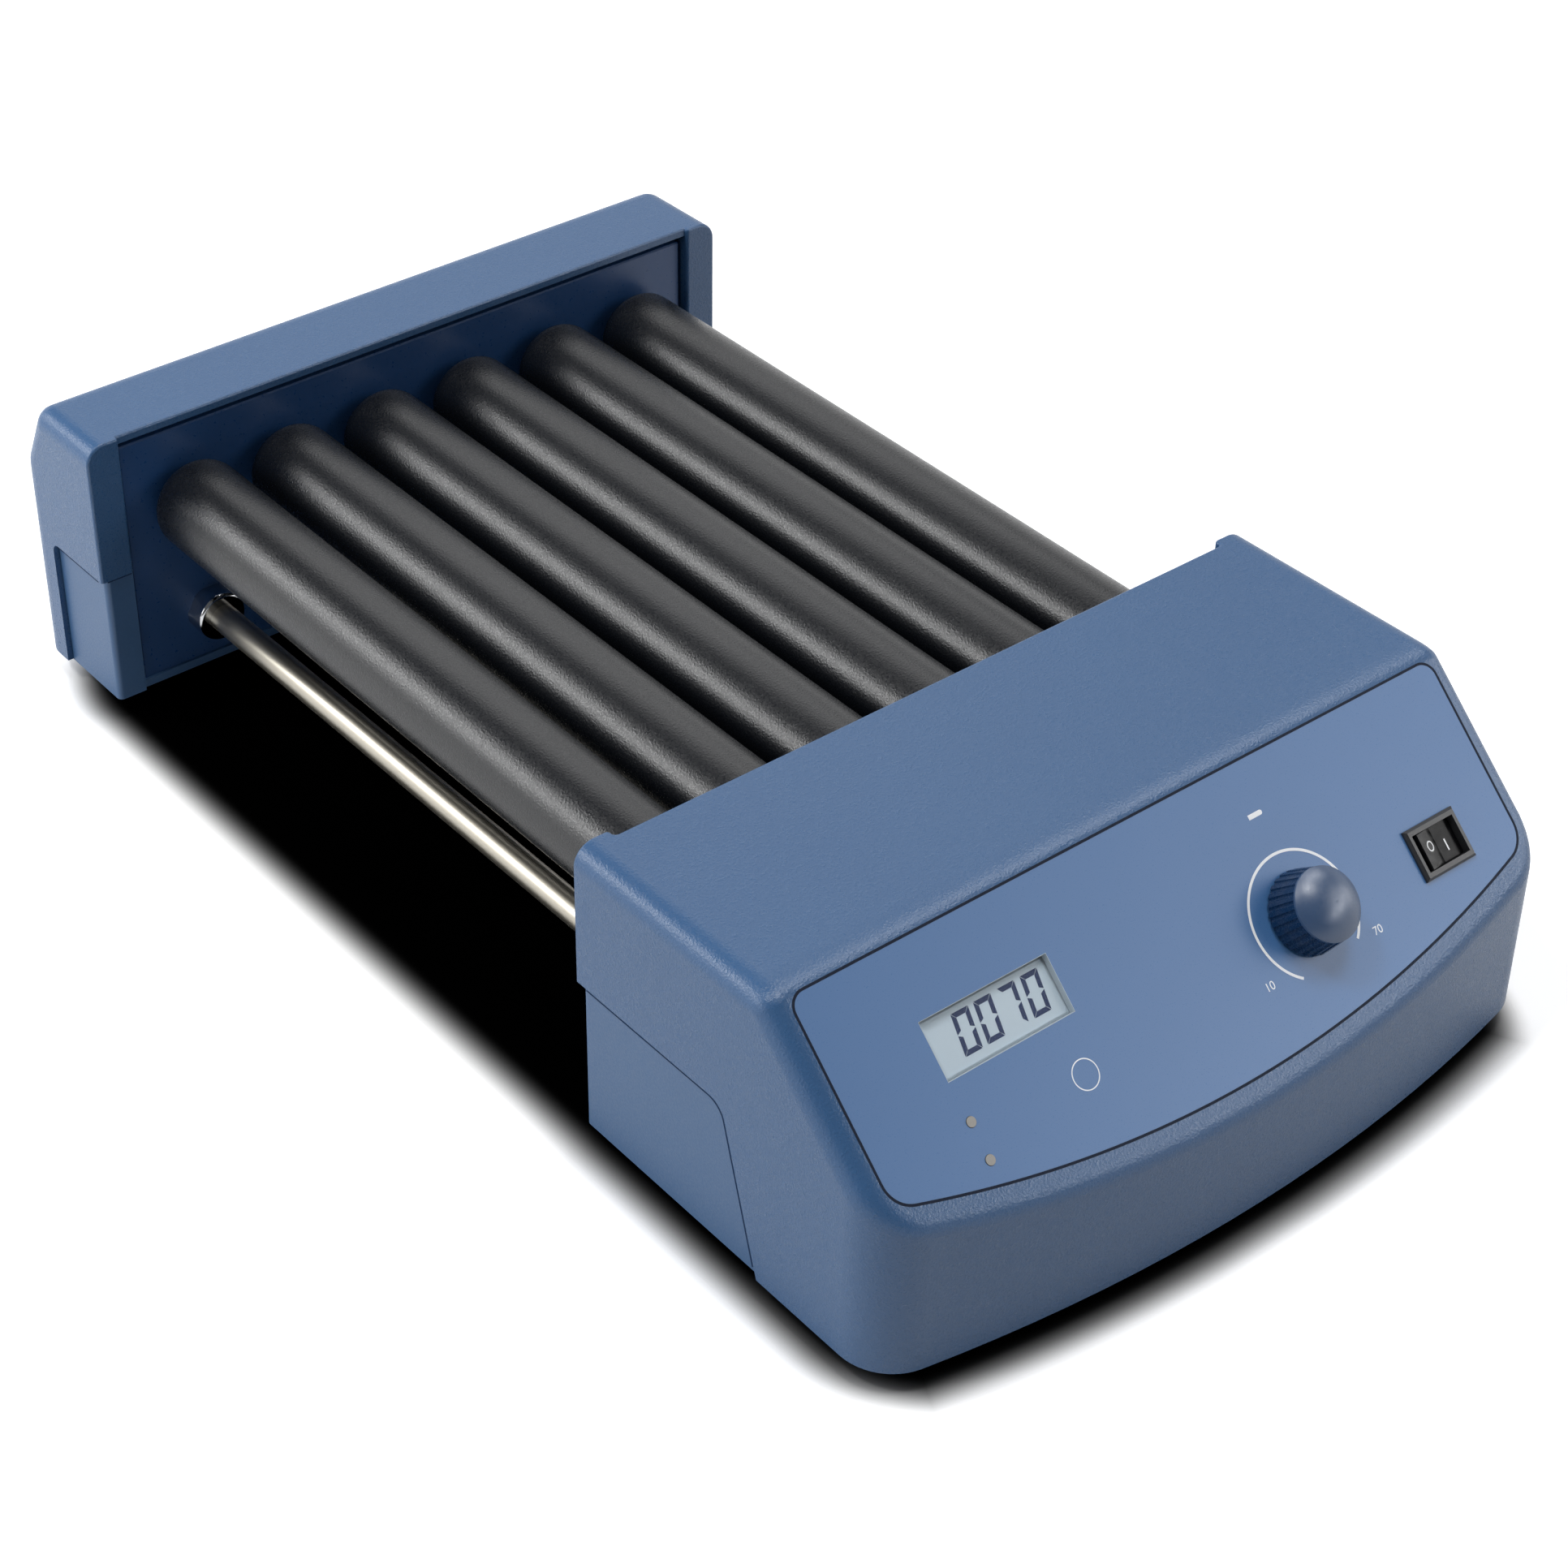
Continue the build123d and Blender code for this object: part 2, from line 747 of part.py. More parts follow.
# End base
with BuildPart() as end_base:
    lip_y = end_lip_y - end_pillar_reach
    floor_front = end_lip_y + lip_radius
    with BuildSketch(Plane.XY.offset(base_z)):
        add(end_plan(wall + base_gap, floor_front))
    extrude(amount=floor_thickness)
    with BuildSketch(Plane.XY.offset(floor_top)):
        add(end_plan(wall + base_gap, floor_front))
        add(end_plan(wall + base_gap + base_wall, floor_front - base_wall), mode=Mode.SUBTRACT)
    extrude(amount=base_rim_height)
    for side in (-1, 1):
        with BuildSketch(Plane.YZ.offset(side * (half_width - end_base_step - base_wall))):
            add(end_seam(seam_gap))
        extrude(amount=side * base_wall)
    add(pillars(base_z, end_seam_z - seam_gap, lip_y + base_setback, lip_y + pillar_depth, end_base_step))
    corners = [
        edge
        for edge in end_base.edges().filter_by(Axis.Z)
        if edge.center().Y < lip_y + base_setback + 0.01 and abs(edge.center().X) > pillar_x + 1
    ]
    fillet(corners, base_corner_radius)
    with BuildSketch(Plane.XY.offset(floor_top)):
        with Locations(*foot_places[2:]):
            Circle(boss_radius)
    extrude(amount=boss_height)
    with BuildSketch(Plane.XY.offset(base_z)):
        with Locations(*foot_places[2:], *end_posts):
            Circle(screw_radius)
    extrude(amount=boss_height, mode=Mode.SUBTRACT)
    with BuildSketch(Plane.XY.offset(base_z)):
        with Locations(*end_plate_screws):
            Circle(small_screw_radius)
    extrude(amount=floor_thickness, mode=Mode.SUBTRACT)
finish(end_base, "end_base")

# Plates that close the housings towards the rollers and carry bushes and tie rods
for name, face_y, inward, screws in (
    ("control_plate", control_plate_y, -1, control_plate_screws),
    ("end_plate", end_plate_y, 1, end_plate_screws),
):
    with BuildPart() as plate:
        with BuildSketch(upright(face_y)):
            with Locations((0, (floor_top + plate_top) / 2)):
                Rectangle(2 * plate_half, plate_top - floor_top)
            with Locations(*[(x, axis_z) for x in roller_xs]):
                Circle(bush_radius, mode=Mode.SUBTRACT)
            with Locations((-rod_spread, rod_z), (rod_spread, rod_z)):
                Circle(rod_radius + screw_clearance, mode=Mode.SUBTRACT)
        extrude(amount=-inward * plate_thickness)
        with BuildSketch(Plane.XY.offset(floor_top)):
            with Locations((0, face_y + inward * plate_foot_depth / 2)):
                Rectangle(2 * plate_half, plate_foot_depth)
        extrude(amount=plate_thickness)
        with BuildSketch(Plane.XY.offset(floor_top)):
            with Locations(*screws):
                Circle(small_screw_radius)
        extrude(amount=plate_thickness, mode=Mode.SUBTRACT)
        top_edge = plate.edges().sort_by_distance((0, face_y, plate_top))[0]
        chamfer(top_edge, plate_chamfer)
    finish(plate, name)

# Printed panel that lies in a shallow pocket of the cover
with BuildPart() as panel_overlay:
    with BuildSketch(panel):
        add(overlay_outline(0))
        with Locations((display_u, -display_s)):
            Rectangle(display_length, display_height, mode=Mode.SUBTRACT)
        with Locations((switch_u, -switch_s)):
            Rectangle(
                switch_body_length + 2 * screw_clearance,
                switch_body_width + 2 * screw_clearance,
                mode=Mode.SUBTRACT,
            )
        with Locations((knob_u, -knob_s)):
            Circle(pot_bush_radius + screw_clearance, mode=Mode.SUBTRACT)
        with Locations((lamp_u, -lamp_s), (lamp_u, -lamp_s - lamp_pitch)):
            Circle(lamp_radius + screw_clearance, mode=Mode.SUBTRACT)
    extrude(amount=-overlay_thickness)
finish(panel_overlay, "panel_overlay")

# Display: a clear window with a rim behind it that keeps it off the display module
pane_length = display_length - 2 * display_clearance
pane_height = display_height - 2 * display_clearance
module_depth = display_drop + display_window + display_air
with BuildPart() as lcd_window:
    with BuildSketch(panel.offset(-display_drop)):
        with Locations((display_u, -display_s)):
            Rectangle(pane_length, pane_height)
    extrude(amount=-display_window - display_air)
    with BuildSketch(panel.offset(-display_drop - display_window)):
        with Locations((display_u, -display_s)):
            Rectangle(pane_length - 2 * display_rim, pane_height - 2 * display_rim)
    extrude(amount=-display_air, mode=Mode.SUBTRACT)
finish(lcd_window, "lcd_window")

with BuildPart() as lcd_module:
    with BuildSketch(panel.offset(-module_depth)):
        with Locations((display_u, -display_s)):
            Rectangle(pane_length, pane_height)
    extrude(amount=module_depth - wall)
    with BuildSketch(panel.offset(-wall)):
        with Locations((display_u, -display_s)):
            Rectangle(display_length + 2 * display_border, display_height + 2 * display_border)
    extrude(amount=-display_body)
finish(lcd_module, "lcd_module")

# Two lamp lenses, light pipes that run back to the board
with BuildPart() as lamp_lenses:
    with BuildSketch(panel.offset(lamp_proud)):
        with Locations((lamp_u, -lamp_s), (lamp_u, -lamp_s - lamp_pitch)):
            Circle(lamp_radius)
    extrude(amount=-lamp_proud - control_board_gap)
finish(lamp_lenses, "lamp_lenses")

# Control board behind the panel, with its connector and chip
with BuildPart() as control_board:
    with BuildSketch(panel.offset(-control_board_gap)):
        with Locations((control_board_u, -control_board_s)):
            Rectangle(control_board_length, control_board_height)
    extrude(amount=-board_thickness)
    with BuildSketch(panel.offset(-control_board_gap - board_thickness)):
        with Locations((control_board_u, -control_board_s)):
            Rectangle(chip_size, chip_size)
        with Locations((control_board_u + connector_shift, -control_board_s)):
            Rectangle(connector_width, connector_length)
    extrude(amount=-chip_height)
finish(control_board, "control_board")

# Power board on the floor of the control housing, with its transformer and capacitor
with BuildPart() as power_board:
    with BuildSketch(Plane.XY.offset(floor_top + standoff_height)):
        with Locations((power_board_x, power_board_y)):
            Rectangle(power_board_width, power_board_length)
    extrude(amount=board_thickness)
    with BuildSketch(Plane.XY.offset(floor_top + standoff_height + board_thickness)):
        with Locations((power_board_x - transformer_shift, power_board_y + parts_run)):
            Rectangle(transformer_width, transformer_length)
        with Locations((power_board_x + capacitor_shift, power_board_y + parts_run)):
            Circle(capacitor_radius)
    extrude(amount=transformer_height)
finish(power_board, "power_board")

# Stand-offs that carry the two boards
with BuildPart() as board_standoffs:
    with BuildSketch(panel.offset(-wall)):
        with Locations((control_board_u, -control_board_s)):
            with GridLocations(
                control_board_length - 2 * standoff_inset, control_board_height - 2 * standoff_inset, 2, 2
            ):
                Circle(standoff_radius)
    extrude(amount=wall - control_board_gap)
    with BuildSketch(Plane.XY.offset(floor_top)):
        with Locations((power_board_x, power_board_y)):
            with GridLocations(
                power_board_width - 2 * standoff_inset, power_board_length - 2 * standoff_inset, 2, 2
            ):
                Circle(standoff_radius)
    extrude(amount=standoff_height)
finish(board_standoffs, "board_standoffs")

# Potentiometer: its body behind the panel and its threaded bush and nut in front
with BuildPart() as potentiometer:
    with BuildSketch(knob_side):
        with BuildLine():
            Polyline(
                (pot_shaft_radius + pot_clearance, pot_bush_proud),
                (pot_bush_radius, pot_bush_proud),
                (pot_bush_radius, -wall),
                (pot_body_radius, -wall),
                (pot_body_radius, -wall - pot_body_depth),
                (0, -wall - pot_body_depth),
                (0, -pot_shaft_depth),
                (pot_shaft_radius + pot_clearance, -pot_shaft_depth),
                close=True,
            )
        make_face()
    revolve(axis=knob_axis)
    with BuildSketch(knob_plane):
        RegularPolygon(pot_nut_flats / 2, 6, major_radius=False)
        Circle(pot_bush_radius, mode=Mode.SUBTRACT)
    extrude(amount=pot_nut_height)
finish(potentiometer, "potentiometer")

with BuildPart() as pot_shaft:
    with BuildSketch(knob_plane.offset(-pot_shaft_depth + pot_clearance)):
        Circle(pot_shaft_radius)
    extrude(amount=pot_shaft_depth - pot_clearance + knob_gap + knob_bore_depth)
finish(pot_shaft, "pot_shaft")

# Speed knob: a fluted, tapering skirt with a smooth domed cap
with BuildPart() as speed_knob:
    with BuildSketch(knob_side):
        with BuildLine():
            Polyline(
                (knob_well_radius, knob_gap),
                (knob_base_radius, knob_gap),
                (knob_top_radius, knob_gap + knob_height),
                (0, knob_gap + knob_height),
                (0, knob_gap + knob_bore_depth),
                (pot_shaft_radius, knob_gap + knob_bore_depth),
                (pot_shaft_radius, knob_gap + knob_well_depth),
                (knob_well_radius, knob_gap + knob_well_depth),
                close=True,
            )
        make_face()
    revolve(axis=knob_axis)
    for i in range(knob_flute_count):
        turn = turned(knob_plane, i * 360 / knob_flute_count)
        outward = turn.x_dir
        rise = turn.z_dir * knob_height - outward * (knob_base_radius - knob_top_radius)
        with BuildSketch(turn.offset(knob_gap)):
            with Locations((knob_base_radius + knob_flute_radius / 3, 0)):
                Circle(knob_flute_radius)
        extrude(amount=rise.length, dir=rise.normalized(), mode=Mode.SUBTRACT)
finish(speed_knob, "speed_knob")

with BuildPart() as knob_cap:
    with BuildSketch(knob_side):
        rim_height = knob_gap + knob_height
        dome_radius = (cap_radius**2 + cap_rise**2) / (2 * cap_rise)
        dome_top = rim_height + cap_rim + cap_rise
        shoulder = dome_top - dome_radius + sqrt(dome_radius**2 - cap_radius**2 / 4)
        with BuildLine():
            Polyline(
                (0, dome_top), (0, rim_height), (cap_radius, rim_height), (cap_radius, rim_height + cap_rim)
            )
            ThreePointArc((cap_radius, rim_height + cap_rim), (cap_radius / 2, shoulder), (0, dome_top))
        make_face()
    revolve(axis=knob_axis)
finish(knob_cap, "knob_cap")

# Switch: a body that snaps into the panel, with its bezel, and the rocker in it
with BuildPart() as switch_body:
    with BuildSketch(switch_plane):
        Rectangle(bezel_length, bezel_width)
    extrude(amount=bezel_proud)
    bezel_middle = switch_plane.origin + switch_plane.z_dir * bezel_proud
    bezel_top = switch_body.faces().sort_by_distance(bezel_middle)[0]
    chamfer(bezel_top.edges(), bezel_chamfer)
    with BuildSketch(switch_plane):
        Rectangle(switch_body_length, switch_body_width)
    extrude(amount=-switch_body_depth)
    with BuildSketch(switch_plane.offset(bezel_proud)):
        Rectangle(2 * (rocker_reach + rocker_gap), rocker_width + 2 * rocker_gap)
    extrude(amount=-bezel_proud - rocker_pivot_depth - rocker_reach - rocker_gap, mode=Mode.SUBTRACT)
    with BuildSketch(rocker_plane):
        Circle(rocker_pin_radius + rocker_pin_clearance)
    extrude(amount=rocker_width / 2 + rocker_gap + rocker_pin_length, both=True, mode=Mode.SUBTRACT)
finish(switch_body, "switch_body")

with BuildPart() as switch_rocker:
    with BuildSketch(turned(rocker_plane, -rocker_tilt)):
        wing = rocker_waist + rocker_reach * tan(radians(rocker_tilt))
        with BuildLine():
            Polyline(
                (-rocker_reach, wing),
                (0, rocker_waist),
                (rocker_reach, wing),
                (rocker_reach, -rocker_below),
                (-rocker_reach, -rocker_below),
                close=True,
            )
        make_face()
        Circle(rocker_reach, mode=Mode.INTERSECT)
    extrude(amount=rocker_width / 2, both=True)
    with BuildSketch(rocker_plane):
        Circle(rocker_pin_radius)
    extrude(amount=rocker_width / 2 + rocker_pin_length, both=True)
finish(switch_rocker, "switch_rocker")

# Mains inlet: a flange outside the right cheek and a socket with three pins
with BuildPart() as mains_inlet:
    with BuildSketch(inlet_plane):
        RectangleRounded(inlet_flange_length, inlet_flange_width, inlet_corner_radius)
    extrude(amount=inlet_flange_thickness)
    with BuildSketch(inlet_plane):
        Rectangle(inlet_body_length, inlet_body_width)
    extrude(amount=-inlet_body_depth)
    with BuildSketch(inlet_plane.offset(inlet_flange_thickness)):
        RectangleRounded(inlet_mouth_length, inlet_mouth_width, inlet_corner_radius)
    extrude(amount=-inlet_flange_thickness - inlet_mouth_depth, mode=Mode.SUBTRACT)
    with BuildSketch(inlet_plane.offset(-inlet_mouth_depth)):
        with Locations((-inlet_pin_spacing, -inlet_pin_lift), (inlet_pin_spacing, -inlet_pin_lift)):
            Rectangle(inlet_pin_thickness, inlet_pin_width)
        with Locations((0, inlet_pin_lift)):
            Rectangle(inlet_pin_thickness, inlet_pin_width)
    extrude(amount=inlet_pin_length)
finish(mains_inlet, "mains_inlet")

# Rollers. Each is a rigid body that turns on stub shafts. The roller's own axis
# leans by the rocking offset at each end, so its ends rise and fall as it turns.
for number, x in enumerate(roller_xs, start=1):
    middle = (x, bed_middle_y, axis_z)
    own_axis = Axis(middle, (0, cos(lean_angle), sin(lean_angle)))
    half_sleeve = sleeve_length / 2
    inner_radius = roller_radius - sleeve_thickness

    with BuildPart() as sleeve:
        with BuildSketch(roller_plane(x)) as profile:
            with BuildLine():
                Polyline(
                    (sleeve_hub_radius, -half_sleeve),
                    (roller_radius, -half_sleeve),
                    (roller_radius, half_sleeve),
                    (sleeve_hub_radius, half_sleeve),
                    (sleeve_hub_radius, half_sleeve - sleeve_cap),
                    (inner_radius, half_sleeve - sleeve_cap),
                    (inner_radius, sleeve_cap - half_sleeve),
                    (sleeve_hub_radius, sleeve_cap - half_sleeve),
                    close=True,
                )
            make_face()
            fillet(profile.vertices().group_by(Axis.X)[-1], roller_shoulder)
        revolve(axis=own_axis)
    finish(sleeve, f"roller_{number}_sleeve")

    with BuildPart() as core:
        with BuildSketch(roller_plane(x)):
            with BuildLine():
                Polyline(
                    (0, half_sleeve - sleeve_cap),
                    (inner_radius, half_sleeve - sleeve_cap),
                    (inner_radius, sleeve_cap - half_sleeve),
                    (0, sleeve_cap - half_sleeve),
                    (0, sleeve_cap - half_sleeve + plug_length),
                    (inner_radius - tube_wall, sleeve_cap - half_sleeve + plug_length),
                    (inner_radius - tube_wall, half_sleeve - sleeve_cap - plug_length),
                    (0, half_sleeve - sleeve_cap - plug_length),
                    close=True,
                )
            make_face()
        revolve(axis=own_axis)
        with BuildSketch(upright(bed_middle_y)):
            with Locations((x, axis_z)):
                Circle(shaft_radius)
        extrude(amount=bed_length, both=True, mode=Mode.SUBTRACT)
    finish(core, f"roller_{number}_core")

    with BuildPart() as shafts:
        with BuildSketch(upright(control_shaft_root)):
            with Locations((x, axis_z)):
                Circle(shaft_radius)
        extrude(amount=control_shaft_root - pulley_tail_y + shaft_tail)
        with BuildSketch(upright(end_shaft_root)):
            with Locations((x, axis_z)):
                Circle(shaft_radius)
        extrude(amount=end_shaft_root - end_shaft_tip)
    finish(shafts, f"roller_{number}_shafts")

    with BuildPart() as pulley:
        with BuildSketch(upright(pulley_head_y)):
            with Locations((x, axis_z)):
                Circle(pulley_radius)
        extrude(amount=pulley_length)
        for flange in range(groove_count + 1):
            with BuildSketch(upright(pulley_head_y - flange * (groove_width + pulley_flange))):
                with Locations((x, axis_z)):
                    Circle(pulley_radius + pulley_flange_height)
            extrude(amount=pulley_flange)
        with BuildSketch(upright(pulley_head_y)):
            with Locations((x, axis_z)):
                Circle(shaft_radius)
        extrude(amount=pulley_length, mode=Mode.SUBTRACT)
    finish(pulley, f"roller_{number}_pulley")

# Flanged bushes for the roller shafts, one row in each plate
with BuildPart() as roller_bushes:
    for face_y, inward in ((control_plate_y, -1), (end_plate_y, 1)):
        with BuildSketch(upright(face_y)):
            with Locations(*[(x, axis_z) for x in roller_xs]):
                Circle(bush_flange_radius)
        extrude(amount=inward * bush_flange_thickness)
        with BuildSketch(upright(face_y)):
            with Locations(*[(x, axis_z) for x in roller_xs]):
                Circle(bush_radius)
        extrude(amount=-inward * (plate_thickness + bush_tail))
        with BuildSketch(upright(face_y)):
            with Locations(*[(x, axis_z) for x in roller_xs]):
                Circle(bore_radius)
        extrude(amount=plate_thickness + bush_tail + bush_flange_thickness, both=True, mode=Mode.SUBTRACT)
finish(roller_bushes, "roller_bushes")

# Belts: one from each roller to the next, in two planes by turns, and one from the motor
with BuildPart() as roller_belts:
    for i in range(roller_count - 1):
        groove = i % (groove_count - 1)
        ends = ((roller_xs[i], axis_z), (roller_xs[i + 1], axis_z))
        with BuildSketch(upright(groove_y(groove) + belt_width / 2)):
            add(belt_loop(*ends, pulley_radius, pulley_radius))
        extrude(amount=belt_width)
finish(roller_belts, "roller_belts")

with BuildPart() as drive_belt:
    with BuildSketch(upright(drive_groove_y + belt_width / 2)):
        add(belt_loop((motor_x, axis_z), (motor_x, motor_z), pulley_radius, motor_pulley_radius))
    extrude(amount=belt_width)
finish(drive_belt, "drive_belt")

# Motor with its gearbox, on a bent bracket, and the pulley on its shaft
with BuildPart() as motor_bracket:
    with BuildSketch(upright(bracket_y)):
        with Locations((motor_x, (floor_top + motor_z + motor_radius) / 2)):
            Rectangle(2 * motor_radius, motor_z + motor_radius - floor_top)
        with Locations((motor_x, motor_z)):
            Circle(motor_boss_radius, mode=Mode.SUBTRACT)
            with GridLocations(2 * motor_screw_spread, 0, 2, 1):
                Circle(small_screw_radius, mode=Mode.SUBTRACT)
    extrude(amount=bracket_thickness)
    with BuildSketch(Plane.XY.offset(floor_top)):
        with Locations((motor_x, bracket_y - (bracket_thickness + bracket_foot) / 2)):
            Rectangle(2 * motor_radius, bracket_thickness + bracket_foot)
        with Locations(*bracket_screws):
            Circle(small_screw_radius, mode=Mode.SUBTRACT)
    extrude(amount=bracket_thickness)
finish(motor_bracket, "motor_bracket")

with BuildPart() as motor:
    with BuildSketch(upright(bracket_y)):
        with Locations((motor_x, motor_z)):
            Circle(motor_boss_radius)
    extrude(amount=bracket_thickness)
    with BuildSketch(upright(motor_face_y)):
        with Locations((motor_x, motor_z)):
            Circle(motor_radius)
    extrude(amount=gearbox_length)
    with BuildSketch(upright(motor_face_y - gearbox_length)):
        with Locations((motor_x, motor_z)):
            Circle(motor_can_radius)
    extrude(amount=motor_can_length)
    with BuildSketch(upright(bracket_y)):
        with Locations((motor_x, motor_z)):
            Circle(motor_shaft_radius + bush_clearance)
    extrude(amount=motor_shaft_seat, mode=Mode.SUBTRACT)
    with BuildSketch(upright(motor_face_y)):
        with Locations((motor_x, motor_z)):
            with GridLocations(2 * motor_screw_spread, 0, 2, 1):
                Circle(small_screw_radius)
    extrude(amount=small_screw_grip, mode=Mode.SUBTRACT)
finish(motor, "motor")

with BuildPart() as motor_shaft:
    with BuildSketch(upright(motor_pulley_head_y)):
        with Locations((motor_x, motor_z)):
            Circle(motor_shaft_radius)
    extrude(amount=motor_pulley_head_y - bracket_y + motor_shaft_seat - bush_clearance)
finish(motor_shaft, "motor_shaft")

with BuildPart() as motor_pulley:
    with BuildSketch(upright(motor_pulley_head_y)):
        with Locations((motor_x, motor_z)):
            Circle(motor_pulley_radius)
    extrude(amount=motor_pulley_length)
    for flange_y in (motor_pulley_head_y, motor_pulley_head_y - groove_width - pulley_flange):
        with BuildSketch(upright(flange_y)):
            with Locations((motor_x, motor_z)):
                Circle(motor_pulley_radius + pulley_flange_height)
        extrude(amount=pulley_flange)
    with BuildSketch(upright(motor_pulley_head_y)):
        with Locations((motor_x, motor_z)):
            Circle(motor_shaft_radius)
    extrude(amount=motor_pulley_length, mode=Mode.SUBTRACT)
finish(motor_pulley, "motor_pulley")

# Tie rods, with a polished collar nut outside and a plain nut inside each plate
with BuildPart() as tie_rods:
    with BuildSketch(upright(end_plate_y + plate_thickness + nut_length + rod_tail)):
        with Locations((-rod_spread, rod_z), (rod_spread, rod_z)):
            Circle(rod_radius)
    extrude(amount=end_plate_y - control_plate_y + 2 * (plate_thickness + nut_length + rod_tail))
finish(tie_rods, "tie_rods")

with BuildPart() as rod_collars:
    for face_y, away in ((control_plate_y, 1), (end_plate_y, -1)):
        for x in (-rod_spread, rod_spread):
            add(collar_nut(x, face_y, away))
finish(rod_collars, "rod_collars")

with BuildPart() as rod_nuts:
    for face_y, inward in ((control_plate_y - plate_thickness, -1), (end_plate_y + plate_thickness, 1)):
        with BuildSketch(upright(face_y)):
            with Locations((-rod_spread, rod_z), (rod_spread, rod_z)):
                RegularPolygon(nut_flats / 2, 6, major_radius=False)
                Circle(rod_radius, mode=Mode.SUBTRACT)
        extrude(amount=-inward * nut_length)
finish(rod_nuts, "rod_nuts")

# Rubber feet, with a well for the screw head
with BuildPart() as feet:
    with BuildSketch(Plane.XY):
        with Locations(*foot_places):
            Circle(foot_radius)
    extrude(amount=foot_height, taper=foot_taper)
    with BuildSketch(Plane.XY):
        with Locations(*foot_places):
            Circle(screw_head_radius + screw_clearance)
    extrude(amount=foot_screw_well, mode=Mode.SUBTRACT)
    with BuildSketch(Plane.XY):
        with Locations(*foot_places):
            Circle(screw_radius)
    extrude(amount=foot_height, mode=Mode.SUBTRACT)
finish(feet, "feet")

# Screws
with BuildPart() as foot_screws:
    with BuildSketch(Plane.XY.offset(foot_screw_well)):
        with Locations(*foot_places):
            Circle(screw_head_radius)
    extrude(amount=-screw_head_height)
    with BuildSketch(Plane.XY.offset(foot_screw_well)):
        with Locations(*foot_places):
            Circle(screw_radius)
    extrude(amount=base_z - foot_screw_well + boss_height)
finish(foot_screws, "foot_screws")

with BuildPart() as cover_screws:
    with BuildSketch(Plane.XY.offset(base_z)):
        with Locations(*control_posts, *end_posts):
            Circle(screw_head_radius)
    extrude(amount=-screw_head_height)
    with BuildSketch(Plane.XY.offset(base_z)):
        with Locations(*control_posts, *end_posts):
            Circle(screw_radius)
    extrude(amount=floor_thickness + boss_height)
finish(cover_screws, "cover_screws")

with BuildPart() as plate_screws:
    with BuildSketch(Plane.XY.offset(floor_top + plate_thickness)):
        with Locations(*control_plate_screws, *end_plate_screws):
            Circle(small_head_radius)
    extrude(amount=small_head_height)
    with BuildSketch(Plane.XY.offset(base_z)):
        with Locations(*control_plate_screws, *end_plate_screws):
            Circle(small_screw_radius)
    extrude(amount=floor_thickness + plate_thickness)
finish(plate_screws, "plate_screws")

with BuildPart() as motor_screws:
    with BuildSketch(Plane.XY.offset(floor_top + bracket_thickness)):
        with Locations(*bracket_screws):
            Circle(small_head_radius)
    extrude(amount=small_head_height)
    with BuildSketch(Plane.XY.offset(base_z)):
        with Locations(*bracket_screws):
            Circle(small_screw_radius)
    extrude(amount=floor_thickness + bracket_thickness)
    with BuildSketch(upright(bracket_y)):
        with Locations((motor_x, motor_z)):
            with GridLocations(2 * motor_screw_spread, 0, 2, 1):
                Circle(small_head_radius)
    extrude(amount=-small_head_height)
    with BuildSketch(upright(bracket_y)):
        with Locations((motor_x, motor_z)):
            with GridLocations(2 * motor_screw_spread, 0, 2, 1):
                Circle(small_screw_radius)
    extrude(amount=bracket_thickness + small_screw_grip)
finish(motor_screws, "motor_screws")
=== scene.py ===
"""Looks of a bench roller mixer: moulded housings, rubber rollers, a printed panel."""

import json
from math import asin, atan2, cos, degrees, pi, radians, sin, sqrt, tan

import bmesh
import bpy
import numpy as np
from mathutils import Matrix, Vector

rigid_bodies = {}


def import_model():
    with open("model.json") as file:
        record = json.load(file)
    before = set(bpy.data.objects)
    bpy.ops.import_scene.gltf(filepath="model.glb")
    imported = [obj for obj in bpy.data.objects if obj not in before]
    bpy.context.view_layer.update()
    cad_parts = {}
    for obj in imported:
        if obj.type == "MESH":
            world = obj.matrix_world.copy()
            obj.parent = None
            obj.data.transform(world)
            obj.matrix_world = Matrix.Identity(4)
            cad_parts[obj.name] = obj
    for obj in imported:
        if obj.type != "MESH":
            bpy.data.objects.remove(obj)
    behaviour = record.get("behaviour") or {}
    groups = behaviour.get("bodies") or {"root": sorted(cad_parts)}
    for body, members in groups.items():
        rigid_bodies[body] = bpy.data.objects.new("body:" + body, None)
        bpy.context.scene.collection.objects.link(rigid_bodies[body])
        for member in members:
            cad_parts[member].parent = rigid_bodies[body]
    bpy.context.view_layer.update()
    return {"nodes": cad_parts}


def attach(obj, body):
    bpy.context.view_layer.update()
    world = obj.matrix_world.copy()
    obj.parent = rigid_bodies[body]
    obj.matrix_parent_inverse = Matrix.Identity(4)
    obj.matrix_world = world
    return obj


for startup_object in list(bpy.data.objects):
    bpy.data.objects.remove(startup_object)

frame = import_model()
nodes = frame["nodes"]

MM = 0.001

# Sloping panel: u runs across, s down the slope, h out of the surface, all in mm
SLOPE = radians(43.6)
PANEL_ORIGIN = np.array([0.0, -169.133, 108.207])
ACROSS = np.array([1.0, 0.0, 0.0])
DOWN = np.array([0.0, -cos(SLOPE), -sin(SLOPE)])
OUT = np.array([0.0, -sin(SLOPE), cos(SLOPE)])
KNOB_U, KNOB_S = 38.8, 47.1
DISPLAY_U, DISPLAY_S = -68.9, 30.8

def on_panel(u, s, h):
    """Points of the panel, in mm: origin + u across + s down the slope + h outwards."""
    u, s, h = np.broadcast_arrays(np.asarray(u, float), s, h)
    return PANEL_ORIGIN + u[..., None] * ACROSS + s[..., None] * DOWN + h[..., None] * OUT


# Colours and shader nodes


